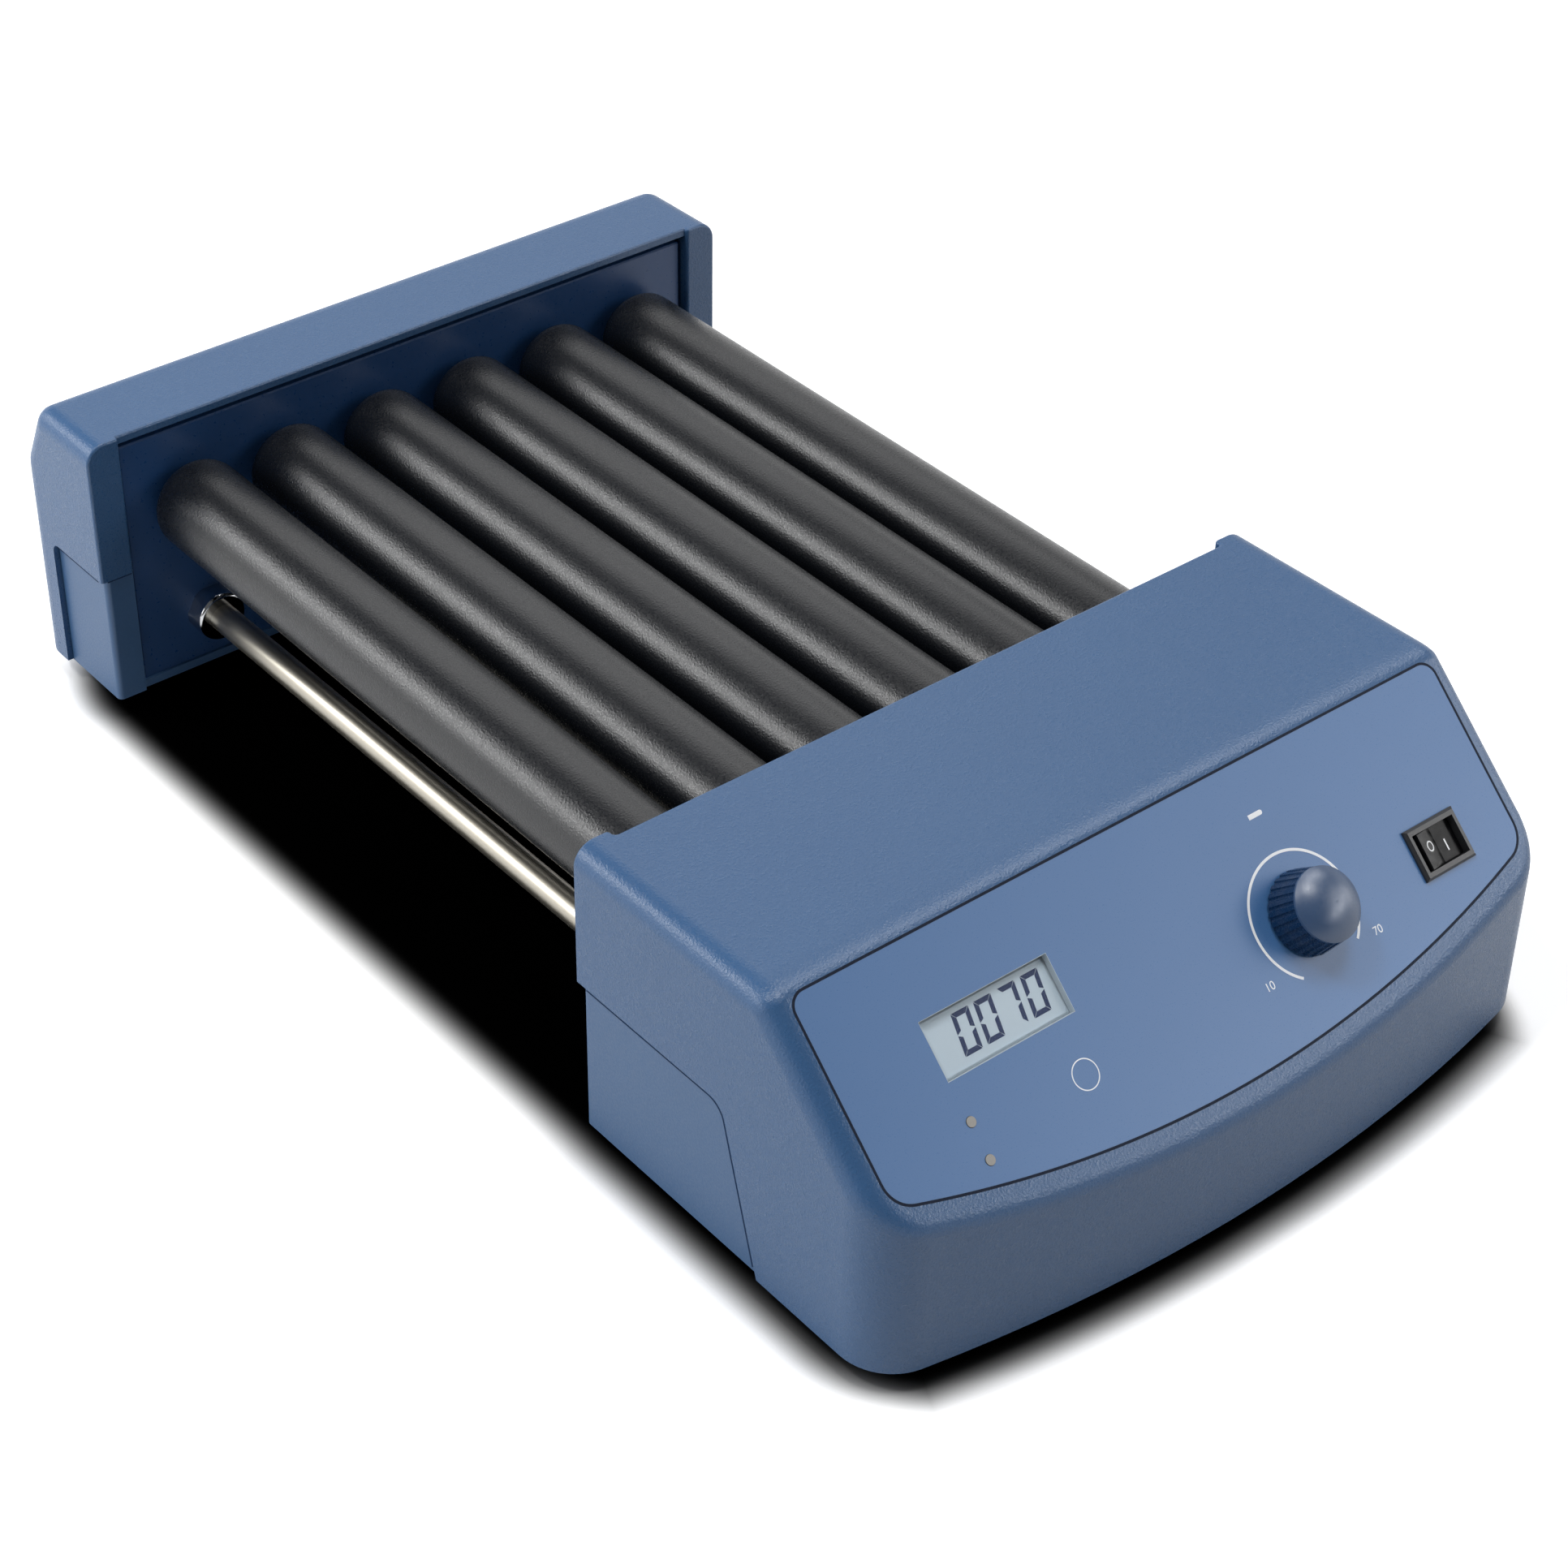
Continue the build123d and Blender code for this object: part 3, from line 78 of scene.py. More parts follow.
def srgb(code, alpha=1.0):
    """Linear colour of an sRGB hex code: c/12.92 below 0.04045, else ((c+0.055)/1.055)^2.4."""
    channels = [int(code[i : i + 2], 16) / 255 for i in (1, 3, 5)]
    return [c / 12.92 if c <= 0.04045 else ((c + 0.055) / 1.055) ** 2.4 for c in channels] + [alpha]


def add_node(tree, kind, inputs=None, **settings):
    """Adds one shader node; an input is a value, or the output of another node."""
    new = tree.nodes.new(kind)
    for name, value in settings.items():
        setattr(new, name, value)
    for name, value in (inputs or {}).items():
        socket = new.inputs[name]
        if isinstance(value, bpy.types.NodeSocket):
            tree.links.new(value, socket)
        else:
            socket.default_value = value
    return new


def new_material(name):
    """An empty node material and its node tree."""
    material = bpy.data.materials.new(name)
    material.use_nodes = True
    material.node_tree.nodes.clear()
    return material, material.node_tree


def finish_material(material, shader):
    """Connects the shader to the material's output."""
    tree = material.node_tree
    add_node(tree, "ShaderNodeOutputMaterial", {"Surface": shader.outputs[0]})
    return material


def per_metre(size_mm):
    """Noise scale whose feature size on Object coordinates is size_mm."""
    return 1000.0 / size_mm


# Size of the faint clouds in a moulded colour, and how far its gloss swings with the grain
CLOUD_MM = 60.0
GLOSS_SWING = 0.08


def moulded(name, colour, shade, grain_mm, grain_depth_mm, roughness, ior=1.5, coat=0.0, rub=None):
    """Moulded plastic, rubber or ink: a cloudy colour with a grain in its bump and gloss.

    shade is the colour's other cloud. rub is a paler colour that shows a little where the
    grain's tops are burnished.
    """
    material, tree = new_material(name)
    place = add_node(tree, "ShaderNodeTexCoord").outputs["Object"]
    cloud = add_node(
        tree,
        "ShaderNodeTexNoise",
        {"Vector": place, "Scale": per_metre(CLOUD_MM), "Detail": 3.0, "Roughness": 0.5},
    )
    grain = add_node(
        tree,
        "ShaderNodeTexNoise",
        {"Vector": place, "Scale": per_metre(grain_mm), "Detail": 2.0, "Roughness": 0.6},
    )
    mix = add_node(
        tree,
        "ShaderNodeMix",
        {"Factor": cloud.outputs["Fac"], "A": srgb(colour), "B": srgb(shade)},
        data_type="RGBA",
    )
    tops = add_node(
        tree,
        "ShaderNodeMapRange",
        {"Value": grain.outputs["Fac"], "From Min": 0.52, "From Max": 0.72, "To Min": 0.0, "To Max": 0.22},
    )
    speckle = add_node(
        tree,
        "ShaderNodeMix",
        {"Factor": tops.outputs["Result"], "A": mix.outputs["Result"], "B": srgb(rub or colour)},
        data_type="RGBA",
    )
    gloss = add_node(
        tree,
        "ShaderNodeMapRange",
        {
            "Value": grain.outputs["Fac"],
            "From Min": 0.3,
            "From Max": 0.7,
            "To Min": roughness + GLOSS_SWING,
            "To Max": roughness - GLOSS_SWING,
        },
    )
    bump = add_node(
        tree,
        "ShaderNodeBump",
        {"Height": grain.outputs["Fac"], "Strength": 0.8, "Distance": grain_depth_mm * MM},
    )
    shader = add_node(
        tree,
        "ShaderNodeBsdfPrincipled",
        {
            "Base Color": speckle.outputs["Result"],
            "Roughness": gloss.outputs["Result"],
            "Normal": bump.outputs["Normal"],
            "IOR": ior,
            "Coat Weight": coat,
            "Coat Roughness": 0.25,
        },
    )
    return finish_material(material, shader)


def metal(name, colour, roughness, stretch=(1.0, 1.0, 1.0), line_mm=0.6, depth_mm=0.004):
    """Metal with machining lines: noise drawn out along the direction of the tool."""
    material, tree = new_material(name)
    place = add_node(tree, "ShaderNodeTexCoord").outputs["Object"]
    drawn = add_node(tree, "ShaderNodeMapping", {"Vector": place, "Scale": stretch})
    lines = add_node(
        tree,
        "ShaderNodeTexNoise",
        {"Vector": drawn.outputs["Vector"], "Scale": per_metre(line_mm), "Detail": 2.0},
    )
    gloss = add_node(
        tree,
        "ShaderNodeMapRange",
        {"Value": lines.outputs["Fac"], "To Min": max(roughness - 0.06, 0.02), "To Max": roughness + 0.08},
    )
    bump = add_node(
        tree, "ShaderNodeBump", {"Height": lines.outputs["Fac"], "Strength": 0.5, "Distance": depth_mm * MM}
    )
    shader = add_node(
        tree,
        "ShaderNodeBsdfPrincipled",
        {
            "Base Color": srgb(colour),
            "Metallic": 1.0,
            "Roughness": gloss.outputs["Result"],
            "Normal": bump.outputs["Normal"],
        },
    )
    return finish_material(material, shader)


# The finishes. After the colours come the grain's width and depth in mm, and the roughness.
# ABS moulded with a spark-eroded grain: broad, soft, speckled highlights on a mid blue.
# The real grain is about 0.3 mm; it is drawn at 0.8 mm so that it shows.
grained_abs = moulded("grained_abs_blue", "#365b85", "#335781", 0.8, 0.22, 0.32, rub="#456a92")
# The same ABS with a finer, flatter grain: the bases look a shade paler and smoother.
base_abs = moulded("fine_grained_abs_blue", "#3c5f87", "#395b83", 0.7, 0.06, 0.38, rub="#46688e")
# Powder-coated steel plates: an even orange-peel skin in a deep navy.
powder_coat = moulded("powder_coated_steel_navy", "#254a7a", "#234675", 1.6, 0.006, 0.34)
# Polycarbonate film printed on its back: almost smooth, with a faint velvet texture.
printed_film = moulded(
    "printed_polycarbonate_film", "#446fa3", "#416c9f", 0.35, 0.006, 0.34, rub="#4873a8"
)
# Nitrile rubber sleeve, ground to a fine matt grain, drawn at 0.7 mm so that it shows.
ground_rubber = moulded(
    "ground_nitrile_rubber", "#0c0f15", "#0a0d12", 0.7, 0.16, 0.30, ior=1.58, rub="#1a1e26"
)
# Moulded rubber of the belts and feet: matt, dark grey, a little dusty on its grain.
belt_rubber = moulded("moulded_belt_rubber", "#1b1b1d", "#171719", 0.6, 0.03, 0.6, rub="#2a2a2d")
foot_rubber = moulded("moulded_foot_rubber", "#1d1d1f", "#19191b", 0.9, 0.04, 0.65, rub="#2c2c2f")
# Glass-filled nylon of the switch frame: a satin grey-black with a fine grain.
switch_nylon = moulded("glass_filled_nylon_black", "#303134", "#2a2b2e", 0.5, 0.02, 0.36, rub="#3c3d40")
# Polished polycarbonate rocker: black and glossy.
rocker_gloss = moulded("polished_polycarbonate_black", "#08080a", "#060608", 2.0, 0.002, 0.20, ior=1.28)
# Navy ABS of the knob's fluted skirt: smooth from the mould, with a thin highlight per flute.
knob_skirt_abs = moulded("moulded_abs_navy", "#0d3055", "#0b2b4d", 0.5, 0.004, 0.26)
# Satin paint on the ABS cap of the knob: smooth, with broad soft highlights.
knob_cap_abs = moulded("satin_painted_abs", "#334d70", "#30496b", 0.6, 0.004, 0.36, ior=1.7, rub="#385277")
# Moulded nylon of the mains inlet: black, a little glossier than the feet.
inlet_nylon = moulded("moulded_nylon_black", "#1c1c1e", "#18181a", 0.6, 0.02, 0.45, rub="#2b2b2e")
# Turned acetal bushes and moulded nylon pulleys: waxy white, and a plain dark grey.
bush_acetal = moulded("turned_acetal_white", "#d8d6cd", "#cfcdc4", 0.8, 0.01, 0.38)
pulley_nylon = moulded("moulded_nylon_grey", "#2b2c2f", "#262729", 0.8, 0.02, 0.5)
# Glass-epoxy circuit board under a green solder resist: even colour, glossy coat.
board_laminate = moulded("glass_epoxy_board_green", "#1f6b3c", "#1a5e34", 0.5, 0.01, 0.3, coat=0.4)
# Frosted acrylic of the two unlit lamps: a milky warm grey.
lens_acrylic = moulded("frosted_acrylic_grey", "#8f8c86", "#87847e", 0.4, 0.01, 0.35, coat=0.3)
# Liquid crystal with a brushed reflector behind it: a flat, pale grey-blue.
lcd_reflector = moulded("liquid_crystal_reflector", "#bbccd8", "#b4c6d3", 0.3, 0.002, 0.5, rub="#c0d0db")
# Screen-printed white ink, and the dark dye of the display's lit segments.
print_ink = moulded("screen_print_ink_white", "#f2f5f8", "#eceff3", 0.5, 0.002, 0.45)
segment_ink = moulded("liquid_crystal_segment", "#10285a", "#0e2450", 0.5, 0.001, 0.7, ior=1.2)
# Light grey liner round the display's opening: a painted highlight that shows its walls as a lit bevel
# instead of in shade.
bevel_highlight_liner = moulded("painted_bevel_highlight_grey", "#b9c6cf", "#b1bec8", 0.6, 0.02, 0.6)
# Navy painted shade of the gap along the film's edge.
film_edge_shade = moulded("painted_edge_shade_navy", "#08172e", "#071428", 0.5, 0.002, 0.6, ior=1.25)
# Painted shade: thin navy lines at the joints between the covers and their bases, where the overhangs'
# shadow falls.
joint_shadow_paint = moulded("painted_joint_shadow_navy", "#1a2f4e", "#172a47", 0.6, 0.01, 0.8, ior=1.2)

# Ground, nickel-plated steel of the rods and shafts: long, warm, slightly blurred highlights.
ground_rod = metal("ground_nickel_plated_steel", "#bab5a9", 0.34, (1.0, 8.0, 1.0))
# Chromium plate over a turned nut: nearly a mirror.
chrome_plate = metal("chromium_plate", "#c9cbce", 0.09, depth_mm=0.001)
# Zinc-plated steel of screws, nuts, bracket and motor: a dull, cool grey.
zinc_steel = metal("zinc_plated_steel", "#a7a9ab", 0.32)
# Turned aluminium and brass: fine tool lines that soften the shine.
turned_aluminium = metal("turned_aluminium", "#c6c8ca", 0.28, (1.0, 10.0, 1.0))
turned_brass = metal("turned_brass", "#b98f45", 0.25)


def clear_pane(name):
    """Clear polycarbonate: the light passes, and a thin veil keeps the gloss of its face."""
    material, tree = new_material(name)
    shader = add_node(
        tree,
        "ShaderNodeBsdfPrincipled",
        {
            "Base Color": srgb("#e6eef2"),
            "Roughness": 0.06,
            "IOR": 1.58,
            "Alpha": 0.03,
        },
    )
    return finish_material(material, shader)


pane_clear = clear_pane("clear_polycarbonate_pane")

FINISH = {
    "control_cover": grained_abs,
    "end_cover": grained_abs,
    "control_base": base_abs,
    "end_base": base_abs,
    "control_plate": powder_coat,
    "end_plate": powder_coat,
    "panel_overlay": printed_film,
    "lcd_window": pane_clear,
    "lcd_module": lcd_reflector,
    "lamp_lenses": lens_acrylic,
    "switch_body": switch_nylon,
    "switch_rocker": rocker_gloss,
    "speed_knob": knob_skirt_abs,
    "knob_cap": knob_cap_abs,
    "potentiometer": zinc_steel,
    "pot_shaft": turned_aluminium,
    "motor": zinc_steel,
    "motor_bracket": zinc_steel,
    "motor_shaft": ground_rod,
    "motor_pulley": turned_aluminium,
    "roller_belts": belt_rubber,
    "drive_belt": belt_rubber,
    "tie_rods": ground_rod,
    "rod_collars": chrome_plate,
    "rod_nuts": zinc_steel,
    "feet": foot_rubber,
    "foot_screws": zinc_steel,
    "cover_screws": zinc_steel,
    "plate_screws": zinc_steel,
    "motor_screws": zinc_steel,
    "roller_bushes": bush_acetal,
    "control_board": board_laminate,
    "power_board": board_laminate,
    "board_standoffs": turned_brass,
    "mains_inlet": inlet_nylon,
}
for number in range(1, 7):
    FINISH[f"roller_{number}_sleeve"] = ground_rubber
    FINISH[f"roller_{number}_core"] = turned_aluminium
    FINISH[f"roller_{number}_shafts"] = ground_rod
    FINISH[f"roller_{number}_pulley"] = pulley_nylon
for node_name, finish in FINISH.items():
    for place in nodes[node_name].material_slots:
        place.material = finish


# Pieces worked out as surfaces


def piece(name, points_mm, faces, material, body):
    """Makes a piece from points in mm and faces, and lets it ride on a body."""
    mesh = bpy.data.meshes.new(name)
    mesh.from_pydata((np.asarray(points_mm, float).reshape(-1, 3) * MM).tolist(), [], faces)
    mesh.validate()
    tidy = bmesh.new()
    tidy.from_mesh(mesh)
    bmesh.ops.remove_doubles(tidy, verts=tidy.verts, dist=1e-7)
    bmesh.ops.recalc_face_normals(tidy, faces=tidy.faces)
    tidy.to_mesh(mesh)
    tidy.free()
    mesh.materials.append(material)
    made = bpy.data.objects.new(name, mesh)
    bpy.context.scene.collection.objects.link(made)
    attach(made, body)
    return made


def grid_faces(rows, columns, closed):
    """Quads of a grid of points; closed joins its last column to its first."""
    last = columns if closed else columns - 1
    r, c = np.meshgrid(np.arange(rows - 1), np.arange(last), indexing="ij")
    n = (c + 1) % columns
    corners = [r * columns + c, r * columns + n, (r + 1) * columns + n, (r + 1) * columns + c]
    return np.stack(corners, -1).reshape(-1, 4).tolist()


def inked(name, outlines, bottom, thickness, material, body):
    """Flat marks on the panel: prisms over outlines in u and s with equal corner counts."""
    edge = np.asarray(outlines, float)
    marks, corners = edge.shape[:2]
    low = on_panel(edge[..., 0], edge[..., 1], bottom)
    high = on_panel(edge[..., 0], edge[..., 1], bottom + thickness)
    points = np.stack([low, high], 1)
    first = np.arange(marks)[:, None] * 2 * corners
    here = first + np.arange(corners)
    after = first + (np.arange(corners) + 1) % corners
    sides = np.stack([here, after, after + corners, here + corners], -1).reshape(-1, 4)
    faces = here[:, ::-1].tolist() + (here + corners).tolist() + sides.tolist()
    return piece(name, points, faces, material, body)


def band(name, first, second, lift, material, body):
    """A thin closed band: the strip between two lines of points in mm, swept along lift."""
    points = np.stack([first, first + lift, second + lift, second], 1)
    count = len(first)
    faces = grid_faces(count, 4, True)
    faces += [[0, 1, 2, 3], [4 * count - 1, 4 * count - 2, 4 * count - 3, 4 * count - 4]]
    return piece(name, points, faces, material, body)


def panel_band(name, outer, inner, bottom, thickness, material):
    """A band of the panel between an outer and an inner line in u and s, with equal counts."""
    first = on_panel(outer[:, 0], outer[:, 1], bottom)
    second = on_panel(inner[:, 0], inner[:, 1], bottom)
    return band(name, first, second, OUT * thickness, material, "chassis")


def clock_ways(first, last, count):
    """Unit steps in u and s at angles in degrees from straight up, clockwise: (sin, -cos)."""
    angle = np.radians(np.linspace(first, last, count))
    return np.stack([np.sin(angle), -np.cos(angle)], -1)


# Printed marks on the film: the speed ring, a small plain ring and a dash
INK_LIFT = 0.01
INK = 0.04
RING_RADIUS, RING_WIDTH = 18.9, 0.85
ring_centre = np.array([KNOB_U, KNOB_S + 0.3])
ring_ways = clock_ways(-146.0, 136.0, 97)
panel_band(
    "speed_ring",
    ring_centre + ring_ways * (RING_RADIUS + RING_WIDTH / 2),
    ring_centre + ring_ways * (RING_RADIUS - RING_WIDTH / 2),
    INK_LIFT,
    INK,
    print_ink,
)
SYMBOL_OUTER, SYMBOL_INNER = 4.52, 4.18
symbol_centre = np.array([-52.1, 55.75])
symbol_ways = clock_ways(0.0, 360.0, 61)
panel_band(
    "symbol_ring",
    symbol_centre + symbol_ways * SYMBOL_OUTER,
    symbol_centre + symbol_ways * SYMBOL_INNER,
    INK_LIFT,
    INK,
    print_ink,
)
# The dash is square at its left end and round at its right end
DASH_LENGTH, DASH_HEIGHT = 5.4, 1.5
dash_u, dash_s = 39.5, 16.1
dash_right = dash_u + (DASH_LENGTH - DASH_HEIGHT) / 2
dash_nose = np.array([dash_right, dash_s]) + DASH_HEIGHT / 2 * clock_ways(0.0, 180.0, 9)
dash_left = dash_u - DASH_LENGTH / 2
dash_tail = np.array([[dash_left, dash_s + DASH_HEIGHT / 2], [dash_left, dash_s - DASH_HEIGHT / 2]])
inked(
    "speed_dash",
    [np.concatenate([dash_nose, dash_tail])],
    INK_LIFT,
    INK,
    print_ink,
    "chassis",
)

# The film's outline: half width, side length, and the bowed lower edge's radius
FILM_HALF, FILM_LENGTH, FILM_BOW = 124.0, 80.16, 409.4
FILM_TOP_CORNER, FILM_FOOT_CORNER = 5.0, 9.0


def film_outline(grow):
    """Right half of the film's outline in u and s, from its top middle to its foot's middle.

    Lines and arcs: a corner circle's points are centre + (radius + grow) (sin t, -cos t).
    """
    corner_u = FILM_HALF - FILM_TOP_CORNER
    top = np.array([corner_u, FILM_TOP_CORNER]) + (FILM_TOP_CORNER + grow) * clock_ways(0.0, 90.0, 13)
    foot_u = FILM_HALF - FILM_FOOT_CORNER
    bow_s = FILM_LENGTH - FILM_BOW
    foot_s = bow_s + sqrt((FILM_BOW - FILM_FOOT_CORNER) ** 2 - foot_u**2)
    lean = asin(foot_u / (FILM_BOW - FILM_FOOT_CORNER))
    foot_ways = clock_ways(90.0, 180.0 - degrees(lean), 13)
    foot = np.array([foot_u, foot_s]) + (FILM_FOOT_CORNER + grow) * foot_ways
    bow_ways = clock_ways(180.0 - degrees(lean), 180.0, 25)[1:]
    bow = np.array([0.0, bow_s]) + (FILM_BOW + grow) * bow_ways
    return np.concatenate([[[0.0, -grow]], top, foot, bow])


def film_loop(grow):
    """The whole outline: the right half, then the left half mirrored."""
    right = film_outline(grow)
    return np.concatenate([right, right[-2::-1] * np.array([-1.0, 1.0])])


# Painted shade of the gap at the film's edge: the dark line reaches a little over the film's edge and a
# little inside it
EDGE_OUTSIDE, EDGE_INSIDE, EDGE_THICKNESS = 0.48, 0.32, 0.03
panel_band(
    "film_edge_line",
    film_loop(EDGE_OUTSIDE),
    film_loop(-EDGE_INSIDE),
    INK_LIFT,
    EDGE_THICKNESS,
    film_edge_shade,
)

# Light grey liner of the display's opening, a painted highlight of a lit bevel, standing a hair above the
# film
LINER_SIZE = np.array([46.16, 17.76])
LINER_WALL, LINER_DEPTH, LINER_PROUD = 0.13, 2.44, 0.02
corner_ways = np.array([[-1, -1], [1, -1], [1, 1], [-1, 1], [-1, -1]]) / 2
display_middle = np.array([DISPLAY_U, DISPLAY_S])
panel_band(
    "display_bevel_highlight",
    display_middle + corner_ways * LINER_SIZE,
    display_middle + corner_ways * (LINER_SIZE - 2 * LINER_WALL),
    -LINER_DEPTH,
    LINER_DEPTH + LINER_PROUD,
    bevel_highlight_liner,
)

# Painted shadow lines under the covers' overhangs, worked out as side views of the joints in y and z.
# They lie on the bases, just where the covers' lower edges stop hiding them from a view above and in front.
SEAM_THICKNESS = 0.05


def seam_path(rear, height, bend, toe, foot, radius):
    """Side view of a joint: level, round a bend, and down to the toe.

    The arc is its centre + radius (way sin, cos), up to the angle between the two lines.
    """
    run = np.array([toe - bend, foot - height])
    turned = pi / 2 - atan2(abs(run[0]), abs(run[1])) if rear > bend else pi / 2
    way = -1.0 if rear > bend else 1.0
    start = bend - way * radius * tan(turned / 2)
    angle = np.linspace(0, turned, 25)
    arc = np.stack([start + way * radius * np.sin(angle), height - radius + radius * np.cos(angle)], -1)
    return np.concatenate([[[rear, height]], arc, [[toe, foot]]])


def seam_shadow_lines(name, path, side_x, shift, breadth):
    """The same painted shadow line on both sides, at x = -side_x and x = side_x, shifted in y and z.

    breadth is the line's breadth as a share of the shift.
    """
    for side, label in ((-1, "left"), (1, "right")):
        first = np.column_stack([np.full(len(path), side * side_x), path + shift])
        second = np.column_stack([np.full(len(path), side * side_x), path + shift * (1 + breadth)])
        lift = np.array([side * SEAM_THICKNESS, 0.0, 0.0])
        band(f"{name}_{label}", first, second, lift, joint_shadow_paint, "chassis")


seam_shadow_lines(
    "control_joint_shadow",
    seam_path(rear=-90.5, height=62.0, bend=-151.25, toe=-165.88, foot=12.0, radius=7.0),
    side_x=129.75,
    shift=np.array([2.3, -2.6]),
    breadth=0.2,
)
# The end housing's line stops part of the way round its bend, where the recess begins
END_JOINT_POINTS = 20
seam_shadow_lines(
    "end_joint_shadow",
    seam_path(rear=184.0, height=57.5, bend=215.75, toe=215.75, foot=50.0, radius=4.0)[:END_JOINT_POINTS],
    side_x=129.5,
    shift=np.array([4.1, -2.95]),
    breadth=0.15,
)
# The same painted shadow line under the joint on the front of the end housing's two pillars
PILLAR_FACE_Y, PILLAR_JOINT_Z, PILLAR_LINE = 183.14, 56.8, 0.45
for side, label in ((-1, "left"), (1, "right")):
    upper = np.array([[side * x, PILLAR_FACE_Y, PILLAR_JOINT_Z] for x in (128.8, 119.4)])
    lower = upper + np.array([0.0, 0.0, -PILLAR_LINE])
    lift = np.array([0.0, -SEAM_THICKNESS, 0.0])
    band(f"pillar_joint_shadow_{label}", upper, lower, lift, joint_shadow_paint, "chassis")

# Seven-segment digits on the display's glass
DIGIT_HEIGHT, DIGIT_WIDTH = 11.9, 6.2
SEGMENT, SEGMENT_GAP = 1.45, 0.14
DIGIT_SLANT = 0.14
SEGMENTS = {"0": "abcdef", "7": "abc"}


def digit_outlines(digit, u, s):
    """Bars of one digit round (u, s), mitred where they meet; slant moves u by -slant * s."""
    w, h, t, g = DIGIT_WIDTH / 2, DIGIT_HEIGHT / 2, SEGMENT, SEGMENT_GAP
    bars = {
        "a": [(-w + g, -h), (w - g, -h), (w - t, -h + t), (-w + t, -h + t)],
        "d": [(-w + t, h - t), (w - t, h - t), (w - g, h), (-w + g, h)],
        "b": [(w, -h + g), (w, -g), (w - t, -g - t / 2), (w - t, -h + t + g)],
        "c": [(w - t, g + t / 2), (w, g), (w, h - g), (w - t, h - t - g)],
        "f": [(-w, -h + g), (-w + t, -h + t + g), (-w + t, -g - t / 2), (-w, -g)],
        "e": [(-w, g), (-w + t, g + t / 2), (-w + t, h - t - g), (-w, h - g)],
    }
    return [[(u + x - y * DIGIT_SLANT, s + y) for x, y in bars[bar]] for bar in SEGMENTS[digit]]


DIGITS = (("0", -9.2), ("0", -1.1), ("7", 7.5), ("0", 15.9))
DIGIT_RAISE = 0.5
DISPLAY_DEPTH, DIGIT_THICKNESS = 2.5, 0.05
digits = []
for digit, offset in DIGITS:
    digits += digit_outlines(digit, DISPLAY_U + offset, DISPLAY_S - DIGIT_RAISE)
inked(
    "display_digits",
    digits,
    INK_LIFT - DISPLAY_DEPTH,
    DIGIT_THICKNESS,
    segment_ink,
    "chassis",
)


# Font size per height of a capital, and how thick the marks are on each side
FONT_PER_CAPITAL, MARK_THICKNESS = 1.4, 0.02


def text_piece(name, text, height_mm, u, s, h, body, turn=0.0):
    """A plain number or mark as a thin flat mesh, centred on (u, s) of the panel.

    turn leans its face about the panel's up direction.
    """
    curve = bpy.data.curves.new(name, "FONT")
    curve.body = text
    curve.size = height_mm * MM * FONT_PER_CAPITAL
    curve.extrude = MARK_THICKNESS * MM
    curve.align_x = "CENTER"
    curve.align_y = "CENTER"
    flat = bpy.data.objects.new(name + "_flat", curve)
    bpy.context.scene.collection.objects.link(flat)
    bpy.context.view_layer.update()
    mesh = bpy.data.meshes.new_from_object(flat.evaluated_get(bpy.context.evaluated_depsgraph_get()))
    bpy.data.objects.remove(flat)
    up = Vector(-DOWN)
    across = Matrix.Rotation(turn, 3, up) @ Vector(ACROSS)
    place = Matrix((across, up, across.cross(up))).transposed().to_4x4()
    place.translation = Vector(on_panel(u, s, h) * MM)
    mesh.transform(place)
    mesh.materials.clear()
    mesh.materials.append(print_ink)
    mesh.name = name
    made = bpy.data.objects.new(name, mesh)
    bpy.context.scene.collection.objects.link(made)
    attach(made, body)
    return made


text_piece("speed_low_number", "10", 2.6, 16.4, 60.4, 0.03, "chassis")
text_piece("speed_high_number", "70", 2.6, 59.9, 61.8, 0.03, "chassis")
# The rocker's marks: its left wing rises 20 degrees towards the left, its right wing lies flat
text_piece("rocker_off_mark", "O", 3.4, 91.2, 48.6, 0.45, "rocker", radians(20))
text_piece("rocker_on_mark", "I", 3.8, 98.0, 50.6, -0.80, "rocker")


# Floor, lights and camera


# Painted shadow on the floor, in metres: a box's half sizes and a bow, both well inside the outline,
# and the distances from them between which the painted shadow turns from dark to white
SHADE_INSET = 0.045
SHADE_HALF_X, SHADE_HALF_Y = 0.1315 - SHADE_INSET, 0.234 - SHADE_INSET
BOW_CENTRE_Y, BOW_RADIUS = 0.34275, 0.577 - SHADE_INSET
DARK_UNTIL, WHITE_FROM = 0.037, 0.056


